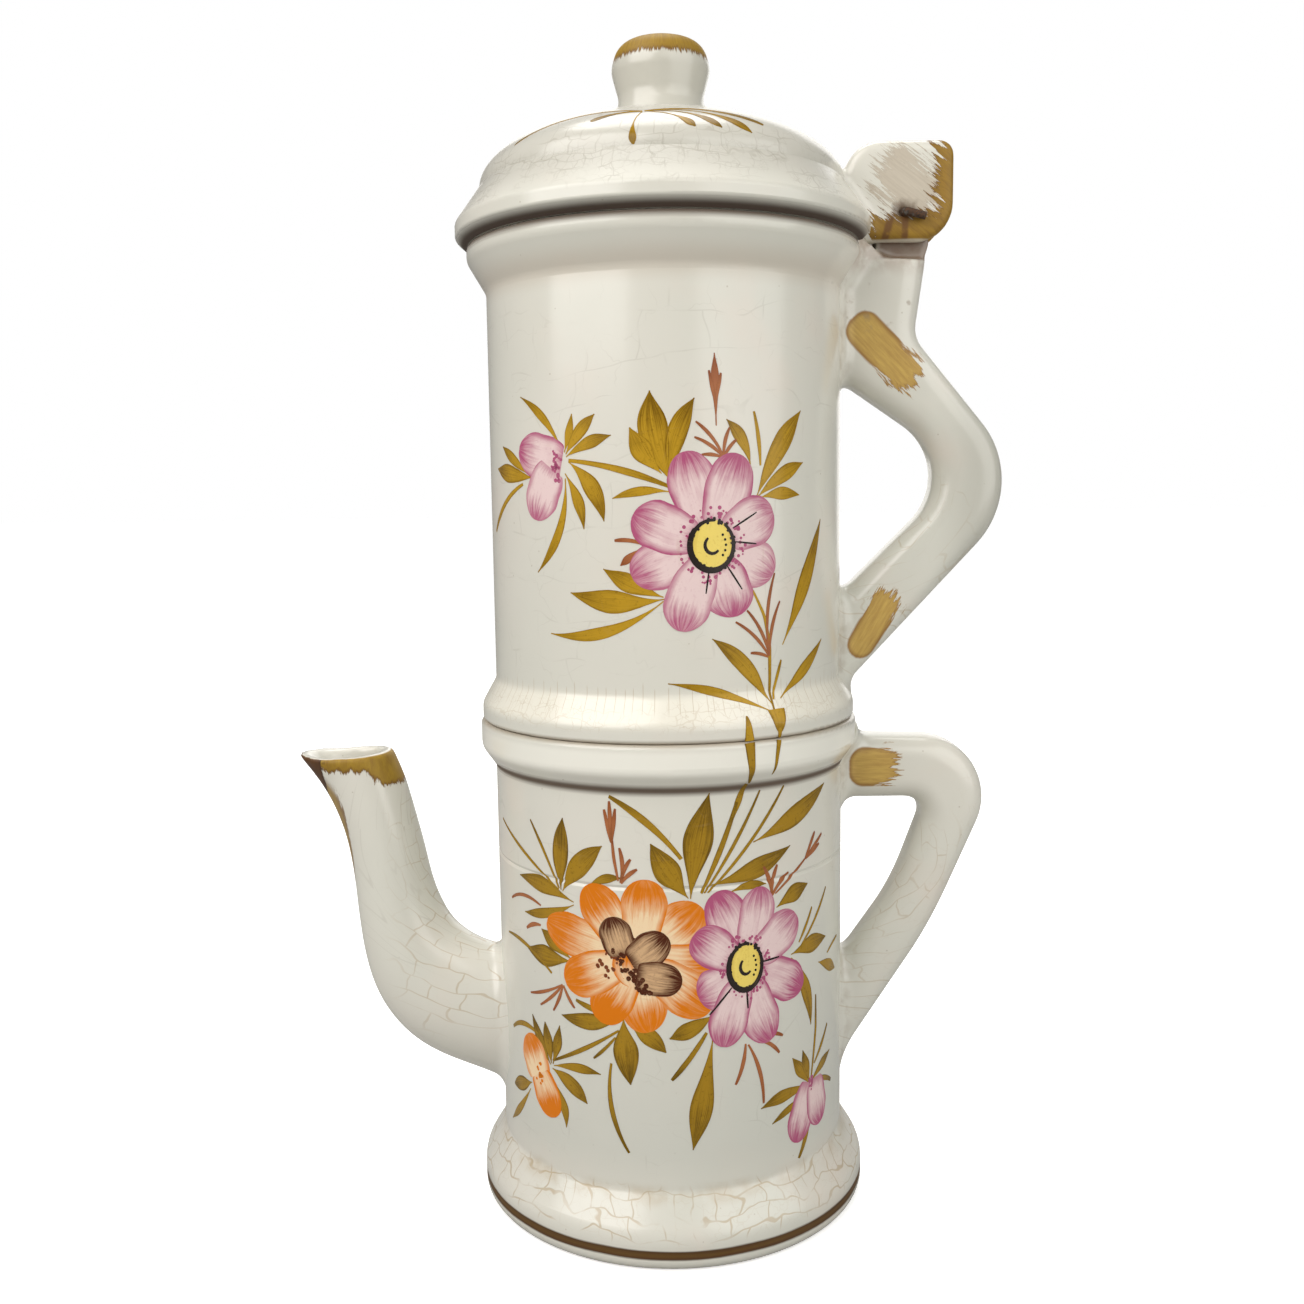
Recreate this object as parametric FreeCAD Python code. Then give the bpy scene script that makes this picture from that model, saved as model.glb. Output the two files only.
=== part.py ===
import FreeCAD, Part
import math
import os

# Two-tier drip coffee pot in glazed earthenware. Millimetres, +Z up.
# Origin at the centre of the foot on the table. The spout points to -X and the handles to +X.

# Heights of the stack
pot_height = 144.5
vessel_height = 135.4

# Lower pot
pot_radius = 51.8
pot_wall = 5.0
pot_floor = 6.0
foot_spread = 6.3
foot_edge_height = 9.6
foot_slope_height = 19.6
foot_hollow = 2.5
foot_ring_width = 9.0
foot_edge_rounding = 3.0
foot_rounding = 8.0
crease_drop = 39.5
crease_depth = 0.4
crease_half_width = 0.8

# The two mouldings that meet where the tiers part
ring_spread = 4.1
ring_flat = 7.7
ring_slope = 5.8
vessel_ring_flat = 4.8
vessel_ring_slope = 7.2
ring_rounding = 4.5
seam_rounding = 1.4

# Drip vessel, which stands in the pot's mouth on a spigot
vessel_step = 0.6
vessel_wall = 5.0
spigot_depth = 12.0
spigot_clearance = 0.6
spigot_wall = 4.0
ledge_width = 4.0
ledge_rise = 4.0
collar_spread = 5.3
collar_flat = 3.7
collar_slope = 9.0
collar_rounding = 4.0

# Pierced sieve on the ledge
sieve_thickness = 3.0
sieve_edge_clearance = 0.4
sieve_hole_radius = 1.0
sieve_pitch = 8.0
sieve_hole_rings = 4
holes_added_per_ring = 6

# Loose water spreader that stands on the sieve
spreader_thickness = 2.6
spreader_edge_clearance = 1.2
spreader_rim_height = 6.0
spreader_rim_width = 3.0
spreader_hole_radius = 1.6
spreader_pitch = 9.5
spreader_hole_rings = 3
spreader_knob_radius = 7.0
spreader_neck_radius = 4.2
spreader_knob_height = 13.0

# Lid
lid_overhang = 3.1
lid_bevel_height = 2.7
lid_edge_height = 6.0
lid_flange_height = 16.1
lid_edge_rounding = 2.0
dome_inset = 7.2
dome_rise = 19.5
lid_wall = 5.0
skirt_depth = 7.0
skirt_wall = 4.0
skirt_clearance = 1.8
dome_land = 0.8
knob_radius = 14.3
knob_neck_radius = 12.0
knob_neck_height = 6.5
knob_shoulder_height = 15.0
knob_height = 22.6
knob_crown_inset = 2.4
knob_rounding = 6.0

# Hinge of the lid: a tongue on the handle's post, between the cheeks of the thumb block
pin_radius = 1.1
pin_fit = 0.06
pin_rise = 8.1
pin_stand_off = 0.15
pin_bend = 1.6
pin_tail = 6.0
pin_tail_slope = 15.0
tongue_radius = 7.0
tongue_thickness = 9.8
tongue_clearance = 0.5
flange_gap = 1.6
block_depth = 19.0
block_height = 28.1
block_back = 14.4
block_front = 16.6
block_front_rounding = 10.0
block_back_rounding = 4.0
block_heel_rounding = 11.0
block_edge_rounding = 2.6
parting_gap = 0.4
heel_hollow_depth = 4.5
post_shoulder = 1.1

# Handle of the drip vessel, cast in one piece with the hinge post
handle_depth = 18.0
handle_edge_rounding = 6.5
vessel_post_length = 25.8
vessel_post_taper = 3.7
vessel_post_rounding = 8.0
vessel_elbow_height = 66.7
vessel_elbow_reach = 56.4
vessel_elbow_rounding = 27.0
vessel_gap_height = 71.9
vessel_gap_reach = 36.2
vessel_gap_rounding = 18.0
vessel_gap_top = 98.7
vessel_gap_bottom = 33.5
vessel_handle_bottom = 5.5

# Handle of the lower pot, whose slanting arm bows out a little at its knee. Drops are from the pot's top.
pot_handle_drop = 7.5
pot_handle_arm = 18.7
pot_elbow_reach = 52.7
pot_elbow_rounding = 19.0
pot_knee_reach = 28.0
pot_knee_drop = 64.0
pot_knee_rounding = 150.0
pot_handle_bottom_drop = 109.8
pot_gap_reach = 26.4
pot_gap_rounding = 5.0
pot_gap_knee_reach = 16.6
pot_gap_knee_drop = 52.6
pot_gap_knee_rounding = 80.0
pot_gap_bottom_drop = 79.0

# Spout. Each pair is the distance out from the pot's wall and the share of the rise from root to mouth.
spout_root_depth = 12.0
spout_underside = [
    (14.0, 0.056),
    (27.3, 0.126),
    (37.4, 0.246),
    (41.6, 0.364),
    (43.9, 0.536),
    (47.6, 0.776),
    (53.6, 0.904),
]
spout_upperside = [
    (6.5, 0.031),
    (13.7, 0.112),
    (18.1, 0.221),
    (20.6, 0.328),
    (22.8, 0.485),
    (26.6, 0.742),
    (28.8, 0.868),
]
spout_root_bottom = 30.8
spout_root_top = 72.3
spout_tip_reach = 61.2
spout_throat_reach = 32.0
spout_mouth_height = 134.2
spout_mouth_fall = 2.0
spout_root_half_width = 17.0
spout_mouth_half_width = 10.5
spout_wall = 3.4
spout_beak = 0.35
spout_section_points = 24

# Working allowances: how far a root goes into its wall, and how far a cut runs past a face
root_sink = 5.0
cut_past = 20.0
same_place = 1e-6

# Sizes that follow from the ones above
vessel_radius = pot_radius - vessel_step
pot_bore = pot_radius - pot_wall
vessel_bore = vessel_radius - vessel_wall
seat_height = pot_height + vessel_height
collar_radius = vessel_radius + collar_spread
flange_radius = collar_radius + lid_overhang
dome_radius = flange_radius - dome_inset
dome_base = seat_height + lid_flange_height
dome_top = dome_base + dome_rise - dome_land
skirt_radius = vessel_bore - skirt_clearance
skirt_bore = skirt_radius - skirt_wall
spigot_radius = pot_bore - spigot_clearance
spigot_bore = min(vessel_bore - ledge_width, spigot_radius - spigot_wall)
ledge_height = pot_height + ledge_rise
sieve_top = ledge_height + sieve_thickness
pin_x = flange_radius + flange_gap + tongue_radius
pin_z = seat_height + pin_rise
post_back = pin_x + tongue_radius + post_shoulder
heel_floor = seat_height - heel_hollow_depth


def point(x, z, y=0.0):
    return FreeCAD.Vector(x, y, z)


def rounded_edges(corners):
    """Closed run of lines in the XZ plane, each corner (x, z, radius) rounded by an arc."""
    starts = []
    ends = []
    arcs = []
    for i, (x, z, radius) in enumerate(corners):
        here = point(x, z)
        to_last = (point(*corners[i - 1][:2]) - here).normalize()
        to_next = (point(*corners[(i + 1) % len(corners)][:2]) - here).normalize()
        if radius == 0:
            starts.append(here)
            ends.append(here)
            arcs.append(None)
            continue
        half_angle = to_last.getAngle(to_next) / 2
        run = radius / math.tan(half_angle)
        middle = (to_last + to_next).normalize() * (radius / math.sin(half_angle) - radius)
        starts.append(here + to_last * run)
        ends.append(here + to_next * run)
        arcs.append(Part.Arc(starts[-1], here + middle, ends[-1]).toShape())
    edges = []
    for i, arc in enumerate(arcs):
        if arc:
            edges.append(arc)
        edges.append(Part.LineSegment(ends[i], starts[(i + 1) % len(starts)]).toShape())
    return edges


def outline(corners):
    return Part.Face(Part.Wire(rounded_edges(corners)))


def turned(face):
    return face.revolve(point(0, 0), FreeCAD.Vector(0, 0, 1), 360)


def slab(corners, depth):
    """Outline in the XZ plane with its thickness shared evenly to both sides of Y = 0."""
    face = outline(corners)
    face.translate(point(0, 0, -depth / 2))
    return face.extrude(point(0, 0, depth))


def rounded_slab(corners, depth, rounding, hidden_x):
    """Slab with the edges of its two broad faces rounded, but for those that stand at hidden_x."""
    solid = slab(corners, depth)
    rims = []
    for edge in solid.Edges:
        middle = edge.CenterOfMass
        if abs(abs(middle.y) - depth / 2) < same_place and abs(middle.x - hidden_x) > same_place:
            rims.append(edge)
    return solid.makeFillet(rounding, rims)


def cylinder_across(radius, x, z, length):
    """Cylinder along Y, centred on Y = 0."""
    return Part.makeCylinder(radius, length, point(x, z, -length / 2), FreeCAD.Vector(0, 1, 0))


def along_line(start, end, x):
    """Height at x of the straight line through start and end."""
    return start[1] + (end[1] - start[1]) * (x - start[0]) / (end[0] - start[0])


def domed(radius, rise, base, bottom):
    """Round plug from bottom up to base, with a dome on it that ends in a flat land."""
    ellipse = Part.Ellipse(point(radius, base), point(0, base + rise), point(0, base))
    curve = Part.ArcOfEllipse(ellipse, 0, math.asin((rise - dome_land) / rise))
    land_centre = point(0, base + rise - dome_land)
    edges = [curve.toShape()]
    edges.append(Part.LineSegment(curve.EndPoint, land_centre).toShape())
    edges.append(Part.LineSegment(land_centre, point(0, bottom)).toShape())
    edges.append(Part.LineSegment(point(0, bottom), point(radius, bottom)).toShape())
    edges.append(Part.LineSegment(point(radius, bottom), curve.StartPoint).toShape())
    return turned(Part.Face(Part.Wire(Part.__sortEdges__(edges))))


def pierced(plate, hole_radius, pitch, rings, bottom, first_ring=0):
    """Plate with holes on rings about the axis, with the same number more on each ring."""
    holes = []
    for ring in range(first_ring, rings + 1):
        count = max(1, holes_added_per_ring * ring)
        for i in range(count):
            angle = 2 * math.pi * i / count
            x = ring * pitch * math.cos(angle)
            y = ring * pitch * math.sin(angle)
            holes.append(Part.makeCylinder(hole_radius, 2 * cut_past, point(x, bottom - cut_past, y)))
    return plate.cut(Part.makeCompound(holes))


def pot_outside():
    """The lower pot as a solid turned shape: foot, wall with its crease, and moulding."""
    foot_radius = pot_radius + foot_spread
    ring_radius = pot_radius + ring_spread
    ring_bottom = pot_height - ring_flat - ring_slope
    crease = pot_height - crease_drop
    return turned(outline([
        (0, 0, 0),
        (foot_radius, 0, foot_edge_rounding),
        (foot_radius, foot_edge_height, foot_rounding),
        (pot_radius, foot_slope_height, foot_edge_rounding),
        (pot_radius, crease - crease_half_width, 0),
        (pot_radius - crease_depth, crease, 0),
        (pot_radius, crease + crease_half_width, 0),
        (pot_radius, ring_bottom, foot_edge_rounding),
        (ring_radius, pot_height - ring_flat, ring_rounding),
        (ring_radius, pot_height, seam_rounding),
        (0, pot_height, 0),
    ]))


def pot_body(outside, spout_passage):
    inside = turned(outline([
        (0, foot_hollow + pot_floor, 0),
        (pot_bore, foot_hollow + pot_floor, pot_floor),
        (pot_bore, pot_height + cut_past, 0),
        (0, pot_height + cut_past, 0),
    ]))
    foot_recess = Part.makeCylinder(pot_radius + foot_spread - foot_ring_width, foot_hollow)
    return outside.cut(inside).cut(foot_recess).cut(spout_passage)


def spout_section(under, upper, half_width, beak):
    """Oval across the spout between two points of its outline, drawn in to a beak underneath."""
    centre = (under + upper) * 0.5
    reach = (upper - under) * 0.5
    points = []
    for i in range(spout_section_points + 1):
        angle = 2 * math.pi * i / spout_section_points
        width = half_width * math.sin(angle) * (1 + beak * math.cos(angle))
        points.append(centre + reach * math.cos(angle) + point(0, 0, width))
    curve = Part.BSplineCurve()
    curve.interpolate(Points=points)
    return Part.Wire([curve.toShape()])


def risen(stations, root, mouth_reach):
    """Points (reach, height) of one side of the spout, from inside the pot's wall to the mouth."""
    points = [(-spout_root_depth, root), (0, root)]
    for reach, share in stations:
        points.append((reach, root + share * (spout_mouth_height - root)))
    points.append((mouth_reach, spout_mouth_height))
    return points


def spout_solid(inset):
    """Spout from inside the pot's wall to past its mouth, with its walls set in by inset."""
    under = risen(spout_underside, spout_root_bottom, spout_tip_reach)
    upper = risen(spout_upperside, spout_root_top, spout_throat_reach)
    flare = under[-1][0] - under[-2][0]
    rise = under[-1][1] - under[-2][1]
    under.append((spout_tip_reach + flare, spout_mouth_height + rise))
    upper.append((spout_throat_reach, spout_mouth_height + rise))
    narrowing = spout_root_half_width - spout_mouth_half_width
    sections = []
    last = len(under) - 1
    for i, (low, high) in enumerate(zip(under, upper)):
        along = i / last
        half_width = spout_mouth_half_width + narrowing * (1 - along) ** 2
        low_point = point(-pot_radius - low[0], low[1])
        high_point = point(-pot_radius - high[0], high[1])
        step_in = (high_point - low_point).normalize() * inset
        beak = spout_beak * along ** 3
        sections.append(spout_section(low_point + step_in, high_point - step_in, half_width - inset, beak))
    return Part.makeLoft(sections, True, False)


def above_mouth():
    """Block over the plane of the spout's mouth, which falls a little towards the tip."""
    throat = point(-pot_radius - spout_throat_reach, spout_mouth_height)
    tip_x = -pot_radius - spout_tip_reach
    tip_z = spout_mouth_height - spout_mouth_fall
    slope = (throat.z - tip_z) / (throat.x - tip_x)
    left = tip_x - cut_past
    right = throat.x + cut_past / 2
    top = spout_mouth_height + 2 * cut_past
    return slab([
        (left, tip_z + slope * (left - tip_x), 0),
        (right, tip_z + slope * (right - tip_x), 0),
        (right, top, 0),
        (left, top, 0),
    ], 4 * spout_root_half_width)


def pouring_spout(outside):
    return spout_solid(0).cut(above_mouth()).cut(spout_solid(spout_wall)).cut(outside)


def pot_handle(outside):
    """Level arm under the moulding and a slanting arm down to the foot."""
    root = pot_radius - root_sink
    top = pot_height - pot_handle_drop
    gap_top = top - pot_handle_arm
    outer_knee = (pot_radius + pot_knee_reach, pot_height - pot_knee_drop)
    inner_knee = (pot_radius + pot_gap_knee_reach, pot_height - pot_gap_knee_drop)
    low_root = (pot_radius, pot_height - pot_handle_bottom_drop)
    gap_low = (pot_radius, pot_height - pot_gap_bottom_drop)
    corners = [
        (root, top, 0),
        (pot_radius + pot_elbow_reach, top, pot_elbow_rounding),
        (*outer_knee, pot_knee_rounding),
        (root, along_line(outer_knee, low_root, root), 0),
        (root, along_line(inner_knee, gap_low, root), 0),
        (*inner_knee, pot_gap_knee_rounding),
        (pot_radius + pot_gap_reach, gap_top, pot_gap_rounding),
        (root, gap_top, 0),
    ]
    return rounded_slab(corners, handle_depth, handle_edge_rounding, root).cut(outside)


def vessel_outside():
    """The drip vessel as a solid turned shape: spigot, moulding, wall and collar."""
    ring_radius = vessel_radius + ring_spread
    ring_top = pot_height + vessel_ring_flat + vessel_ring_slope
    return turned(outline([
        (0, pot_height - spigot_depth, 0),
        (spigot_radius, pot_height - spigot_depth, seam_rounding),
        (spigot_radius, pot_height, 0),
        (ring_radius, pot_height, seam_rounding),
        (ring_radius, pot_height + vessel_ring_flat, ring_rounding),
        (vessel_radius, ring_top, foot_edge_rounding),
        (vessel_radius, seat_height - collar_flat - collar_slope, collar_rounding),
        (collar_radius, seat_height - collar_flat, collar_rounding),
        (collar_radius, seat_height, seam_rounding),
        (0, seat_height, 0),
    ]))


def drip_vessel(outside):
    bore = Part.makeCylinder(vessel_bore, vessel_height, point(0, ledge_height))
    drip_hole = Part.makeCylinder(spigot_bore, vessel_height, point(0, pot_height - spigot_depth))
    return outside.cut(bore).cut(drip_hole)


def sieve_floor():
    plate = Part.makeCylinder(vessel_bore - sieve_edge_clearance, sieve_thickness, point(0, ledge_height))
    return pierced(plate, sieve_hole_radius, sieve_pitch, sieve_hole_rings, ledge_height)


def spreader_plate():
    radius = vessel_bore - spreader_edge_clearance
    floor_radius = radius - spreader_rim_width
    dish = Part.makeCylinder(radius, spreader_rim_height, point(0, sieve_top))
    hollow = Part.makeCylinder(floor_radius, spreader_rim_height, point(0, sieve_top + spreader_thickness))
    return pierced(dish.cut(hollow), spreader_hole_radius, spreader_pitch, spreader_hole_rings, sieve_top, 1)


def spreader_knob():
    bottom = sieve_top + spreader_thickness
    top = bottom + spreader_knob_height
    waist = top - spreader_knob_radius
    return turned(outline([
        (0, bottom, 0),
        (spreader_knob_radius, bottom, 0),
        (spreader_neck_radius, (bottom + waist) / 2, spreader_neck_radius / 2),
        (spreader_knob_radius, waist, spreader_neck_radius / 2),
        (spreader_knob_radius, top, spreader_neck_radius),
        (0, top, 0),
    ]))


def vessel_handle(outside):
    """Elbow-shaped handle with the post that carries the lid's hinge."""
    root = vessel_radius - root_sink
    post_top = seat_height - parting_gap
    post_foot = (post_back - vessel_post_taper, seat_height - vessel_post_length)
    over_top = seat_height + cut_past
    outer_elbow = (vessel_radius + vessel_elbow_reach, pot_height + vessel_elbow_height)
    inner_elbow = (vessel_radius + vessel_gap_reach, pot_height + vessel_gap_height)
    low_root = (vessel_radius, pot_height + vessel_handle_bottom)
    gap_low = (vessel_radius, pot_height + vessel_gap_bottom)
    gap_high = (vessel_radius, pot_height + vessel_gap_top)
    back_slope = vessel_post_taper / vessel_post_length
    corners = [
        (root, over_top, 0),
        (post_back + back_slope * cut_past, over_top, 0),
        (*post_foot, vessel_post_rounding),
        (*outer_elbow, vessel_elbow_rounding),
        (root, along_line(outer_elbow, low_root, root), 0),
        (root, along_line(inner_elbow, gap_low, root), 0),
        (*inner_elbow, vessel_gap_rounding),
        (root, along_line(inner_elbow, gap_high, root), 0),
    ]
    solid = rounded_slab(corners, handle_depth, handle_edge_rounding, root)
    over_length = post_back + 2 * cut_past
    over_post = Part.makeBox(over_length, 2 * handle_depth, 2 * cut_past, point(0, post_top, -handle_depth))
    heel_hollow = cylinder_across(pin_z - heel_floor, pin_x, pin_z, 2 * handle_depth)
    run_out = Part.makeBox(cut_past, 2 * handle_depth, cut_past, point(pin_x, heel_floor, -handle_depth))
    tongue = slab([
        (pin_x - tongue_radius, heel_floor - tongue_radius, 0),
        (post_back - vessel_post_taper, heel_floor - tongue_radius, 0),
        (post_back, post_top, 0),
        (post_back, pin_z, 0),
        (pin_x - tongue_radius, pin_z, 0),
    ], tongue_thickness)
    tongue = tongue.fuse(cylinder_across(tongue_radius, pin_x, pin_z, tongue_thickness))
    pin_hole = cylinder_across(pin_radius + pin_fit, pin_x, pin_z, 2 * handle_depth)
    post = solid.cut(over_post).cut(heel_hollow).cut(run_out).fuse(tongue).removeSplitter()
    return post.cut(pin_hole).cut(outside)


def lid_outside():
    """The lid as a solid turned shape: skirt, bevelled flange and dome."""
    flange = turned(outline([
        (0, seat_height - skirt_depth, 0),
        (skirt_radius, seat_height - skirt_depth, seam_rounding),
        (skirt_radius, seat_height, 0),
        (collar_radius, seat_height, 0),
        (flange_radius, seat_height + lid_bevel_height, lid_edge_rounding / 2),
        (flange_radius, seat_height + lid_edge_height, lid_edge_rounding),
        (dome_radius, dome_base, 0),
        (0, dome_base, 0),
    ]))
    return flange.fuse(domed(dome_radius, dome_rise, dome_base, seat_height)).removeSplitter()


def lid_dome(outside):
    hollow = domed(dome_radius - lid_wall, dome_rise - lid_wall, dome_base, seat_height + lid_wall)
    opening = Part.makeCylinder(skirt_bore, skirt_depth + lid_wall, point(0, seat_height - skirt_depth))
    return outside.cut(hollow).cut(opening)


def lid_knob():
    """Turned knob on the flat land at the top of the dome."""
    neck = dome_top + knob_neck_height
    top = dome_top + knob_height
    return turned(outline([
        (0, dome_top, 0),
        (knob_radius, dome_top, 0),
        (knob_neck_radius, neck, knob_rounding),
        (knob_radius, dome_top + knob_shoulder_height, knob_rounding),
        (knob_radius - knob_crown_inset, top, knob_rounding),
        (0, top, 0),
    ]))


def thumb_block(lid):
    """Block on the lid's rim: the thumb lifts it, and its two cheeks hold the hinge pin."""
    front = pin_x - block_front
    back = pin_x + block_back
    top = seat_height + block_height
    block = slab([
        (front, seat_height, 0),
        (front, top, block_front_rounding),
        (back, top, block_back_rounding),
        (back, seat_height, block_heel_rounding),
    ], block_depth)
    rims = []
    for edge in block.Edges:
        middle = edge.CenterOfMass
        if abs(abs(middle.y) - block_depth / 2) < same_place and middle.z > seat_height + same_place:
            rims.append(edge)
    block = block.makeFillet(block_edge_rounding, rims)
    room = tongue_radius + tongue_clearance
    slot = slab([
        (pin_x - room, seat_height - cut_past, 0),
        (pin_x - room, pin_z + room, room - tongue_clearance / 2),
        (back + cut_past, pin_z + room, 0),
        (back + cut_past, seat_height - cut_past, 0),
    ], tongue_thickness + 2 * tongue_clearance)
    pin_hole = cylinder_across(pin_radius + pin_fit, pin_x, pin_z, 2 * block_depth)
    return block.cut(slot).cut(pin_hole).cut(lid)


def hinge_pin():
    """Iron wire through the block, its two ends bent over against the cheeks."""
    reach = block_depth / 2 + pin_stand_off + pin_bend
    slope = math.radians(pin_tail_slope)
    tail_way = point(math.cos(slope), -math.sin(slope))
    centre = point(pin_x, pin_z)
    edges = []
    for side in (-1, 1):
        across = point(0, 0, side)
        corner = centre + across * reach
        bend_start = corner - across * pin_bend
        bend_end = corner + tail_way * pin_bend
        bend_middle = corner + (tail_way - across) * pin_bend * (1 - math.sqrt(0.5))
        edges.append(Part.LineSegment(centre, bend_start).toShape())
        edges.append(Part.Arc(bend_start, bend_middle, bend_end).toShape())
        edges.append(Part.LineSegment(bend_end, corner + tail_way * pin_tail).toShape())
    path = Part.Wire(Part.__sortEdges__(edges))
    start = path.OrderedVertexes[0].Point
    profile = Part.Wire([Part.Circle(start, tail_way, pin_radius).toShape()])
    return path.makePipeShell([profile], True, False)


pot = pot_outside()
vessel = vessel_outside()
lid = lid_outside()
pieces = {
    "pot_body": pot_body(pot, spout_solid(spout_wall)),
    "pouring_spout": pouring_spout(pot),
    "pot_handle": pot_handle(pot),
    "drip_vessel": drip_vessel(vessel),
    "sieve_floor": sieve_floor(),
    "vessel_handle": vessel_handle(vessel),
    "lid_dome": lid_dome(lid),
    "lid_knob": lid_knob(),
    "thumb_block": thumb_block(lid),
    "hinge_pin": hinge_pin(),
    "spreader_plate": spreader_plate(),
    "spreader_knob": spreader_knob(),
}

os.makedirs("parts", exist_ok=True)
for name, shape in pieces.items():
    print(name, "solids", len(shape.Solids), "valid", shape.isValid(), "volume", round(shape.Volume))
    shape.exportStep("parts/" + name + ".step")
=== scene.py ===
import math
import random

import bmesh
import bpy
import numpy as np
from mathutils import Matrix, Vector


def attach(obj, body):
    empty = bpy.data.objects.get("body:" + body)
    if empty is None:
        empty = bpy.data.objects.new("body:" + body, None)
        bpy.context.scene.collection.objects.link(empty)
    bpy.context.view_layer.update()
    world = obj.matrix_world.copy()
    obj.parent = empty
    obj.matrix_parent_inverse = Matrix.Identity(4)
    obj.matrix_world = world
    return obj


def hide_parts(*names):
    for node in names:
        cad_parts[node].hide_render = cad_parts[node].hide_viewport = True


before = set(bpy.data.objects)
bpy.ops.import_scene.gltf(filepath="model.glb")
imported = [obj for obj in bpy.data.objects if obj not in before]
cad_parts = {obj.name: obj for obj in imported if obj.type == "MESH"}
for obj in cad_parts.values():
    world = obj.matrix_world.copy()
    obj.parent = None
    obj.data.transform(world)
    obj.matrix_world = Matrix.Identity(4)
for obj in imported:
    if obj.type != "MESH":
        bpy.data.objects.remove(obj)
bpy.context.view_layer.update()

MM = 0.001
ORIGIN = (0.0, 0.0, 0.0)

# Sizes that the paint and the clay seams share with the solids, in millimetres.
# A turned outline is a list of corners: radius, height and rounding.
POT_RADIUS = 51.8
VESSEL_RADIUS = 51.2
SEAM_HEIGHT = 144.5
RIM_RADIUS = 56.5
RIM_HEIGHT = 279.9
FLANGE_RADIUS = 59.6
DOME_RADIUS = 52.4
DOME_RISE = 19.5
DOME_BASE = 296.0
POT_OUTLINE = [
    (58.1, 0.0, 0.0), (58.1, 9.6, 8.0), (POT_RADIUS, 19.6, 3.0), (POT_RADIUS, 131.0, 3.0),
    (55.9, 136.8, 4.5), (55.9, SEAM_HEIGHT, 0.0),
]
VESSEL_OUTLINE = [
    (55.3, SEAM_HEIGHT, 0.0), (55.3, 149.3, 4.5), (VESSEL_RADIUS, 156.5, 3.0), (VESSEL_RADIUS, 267.2, 4.0),
    (RIM_RADIUS, 276.2, 4.0), (RIM_RADIUS, RIM_HEIGHT, 0.0),
]
LID_OUTLINE = [
    (RIM_RADIUS, RIM_HEIGHT, 0.0), (FLANGE_RADIUS, 282.6, 1.0), (FLANGE_RADIUS, 285.9, 2.0),
    (DOME_RADIUS, DOME_BASE, 0.0),
]
CREASE_HEIGHT = 105.0
CREASE_HALF = 0.8
CREASE_DEPTH = 0.4
PIN_X = 68.2
PIN_Z = 288.0
KNOB_TOP = 337.3
MOUTH_X = -95.0
BEAK_TIP = -111.3
BEAK_LENGTH = 15.0
BEAK_LOW = 118.0
BEAK_RISE = 10.0


# Turned surfaces that paint lies on

# Half the height over which the slope of a wall is taken, in millimetres
SLOPE_STEP = 0.2


def rounded_outline(corners, steps=10):
    """Heights and radii along a turned outline, with an arc at each rounded corner."""
    points = []
    for i, (radius, height, rounding) in enumerate(corners):
        here = Vector((radius, height))
        if rounding == 0.0:
            points.append(here)
            continue
        to_last = (Vector(corners[i - 1][:2]) - here).normalized()
        to_next = (Vector(corners[i + 1][:2]) - here).normalized()
        half_angle = to_last.angle(to_next) / 2
        run = rounding / math.tan(half_angle)
        centre = here + (to_last + to_next).normalized() * rounding / math.sin(half_angle)
        first = here + to_last * run - centre
        last = here + to_next * run - centre
        turn = math.atan2(first.x * last.y - first.y * last.x, first.dot(last))
        for k in range(steps + 1):
            points.append(centre + Matrix.Rotation(turn * k / steps, 2) @ first)
    return np.array([p.y for p in points]), np.array([p.x for p in points])


class TurnedWall:
    """Outside of a turned body. Paint is placed by arc length from the front and by height."""

    def __init__(self, outline, radius):
        self.heights, self.radii = rounded_outline(outline)
        self.radius = radius

    def radius_at(self, height):
        return np.interp(height, self.heights, self.radii)

    def slope_at(self, height):
        change = self.radius_at(height + SLOPE_STEP) - self.radius_at(height - SLOPE_STEP)
        return change / (2 * SLOPE_STEP)

    def place(self, across, height, lift):
        slope = self.slope_at(height)
        out = 1.0 / np.sqrt(1.0 + slope ** 2)
        radius = self.radius_at(height) + lift * out
        angle = across / self.radius
        level = height - lift * slope * out
        return np.stack([radius * np.sin(angle), -radius * np.cos(angle), level], -1) * MM

    def normal_at(self, places):
        x, y, z = (places / MM).T
        reach = np.hypot(x, y)
        slope = self.slope_at(z)
        out = 1.0 / np.sqrt(1.0 + slope ** 2)
        return np.stack([x / reach * out, y / reach * out, -slope * out], -1)

    def above(self, places):
        """Height of each place above the wall, in millimetres."""
        x, y, z = (places / MM).T
        return (np.hypot(x, y) - self.radius_at(z)) / np.sqrt(1.0 + self.slope_at(z) ** 2)


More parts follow.
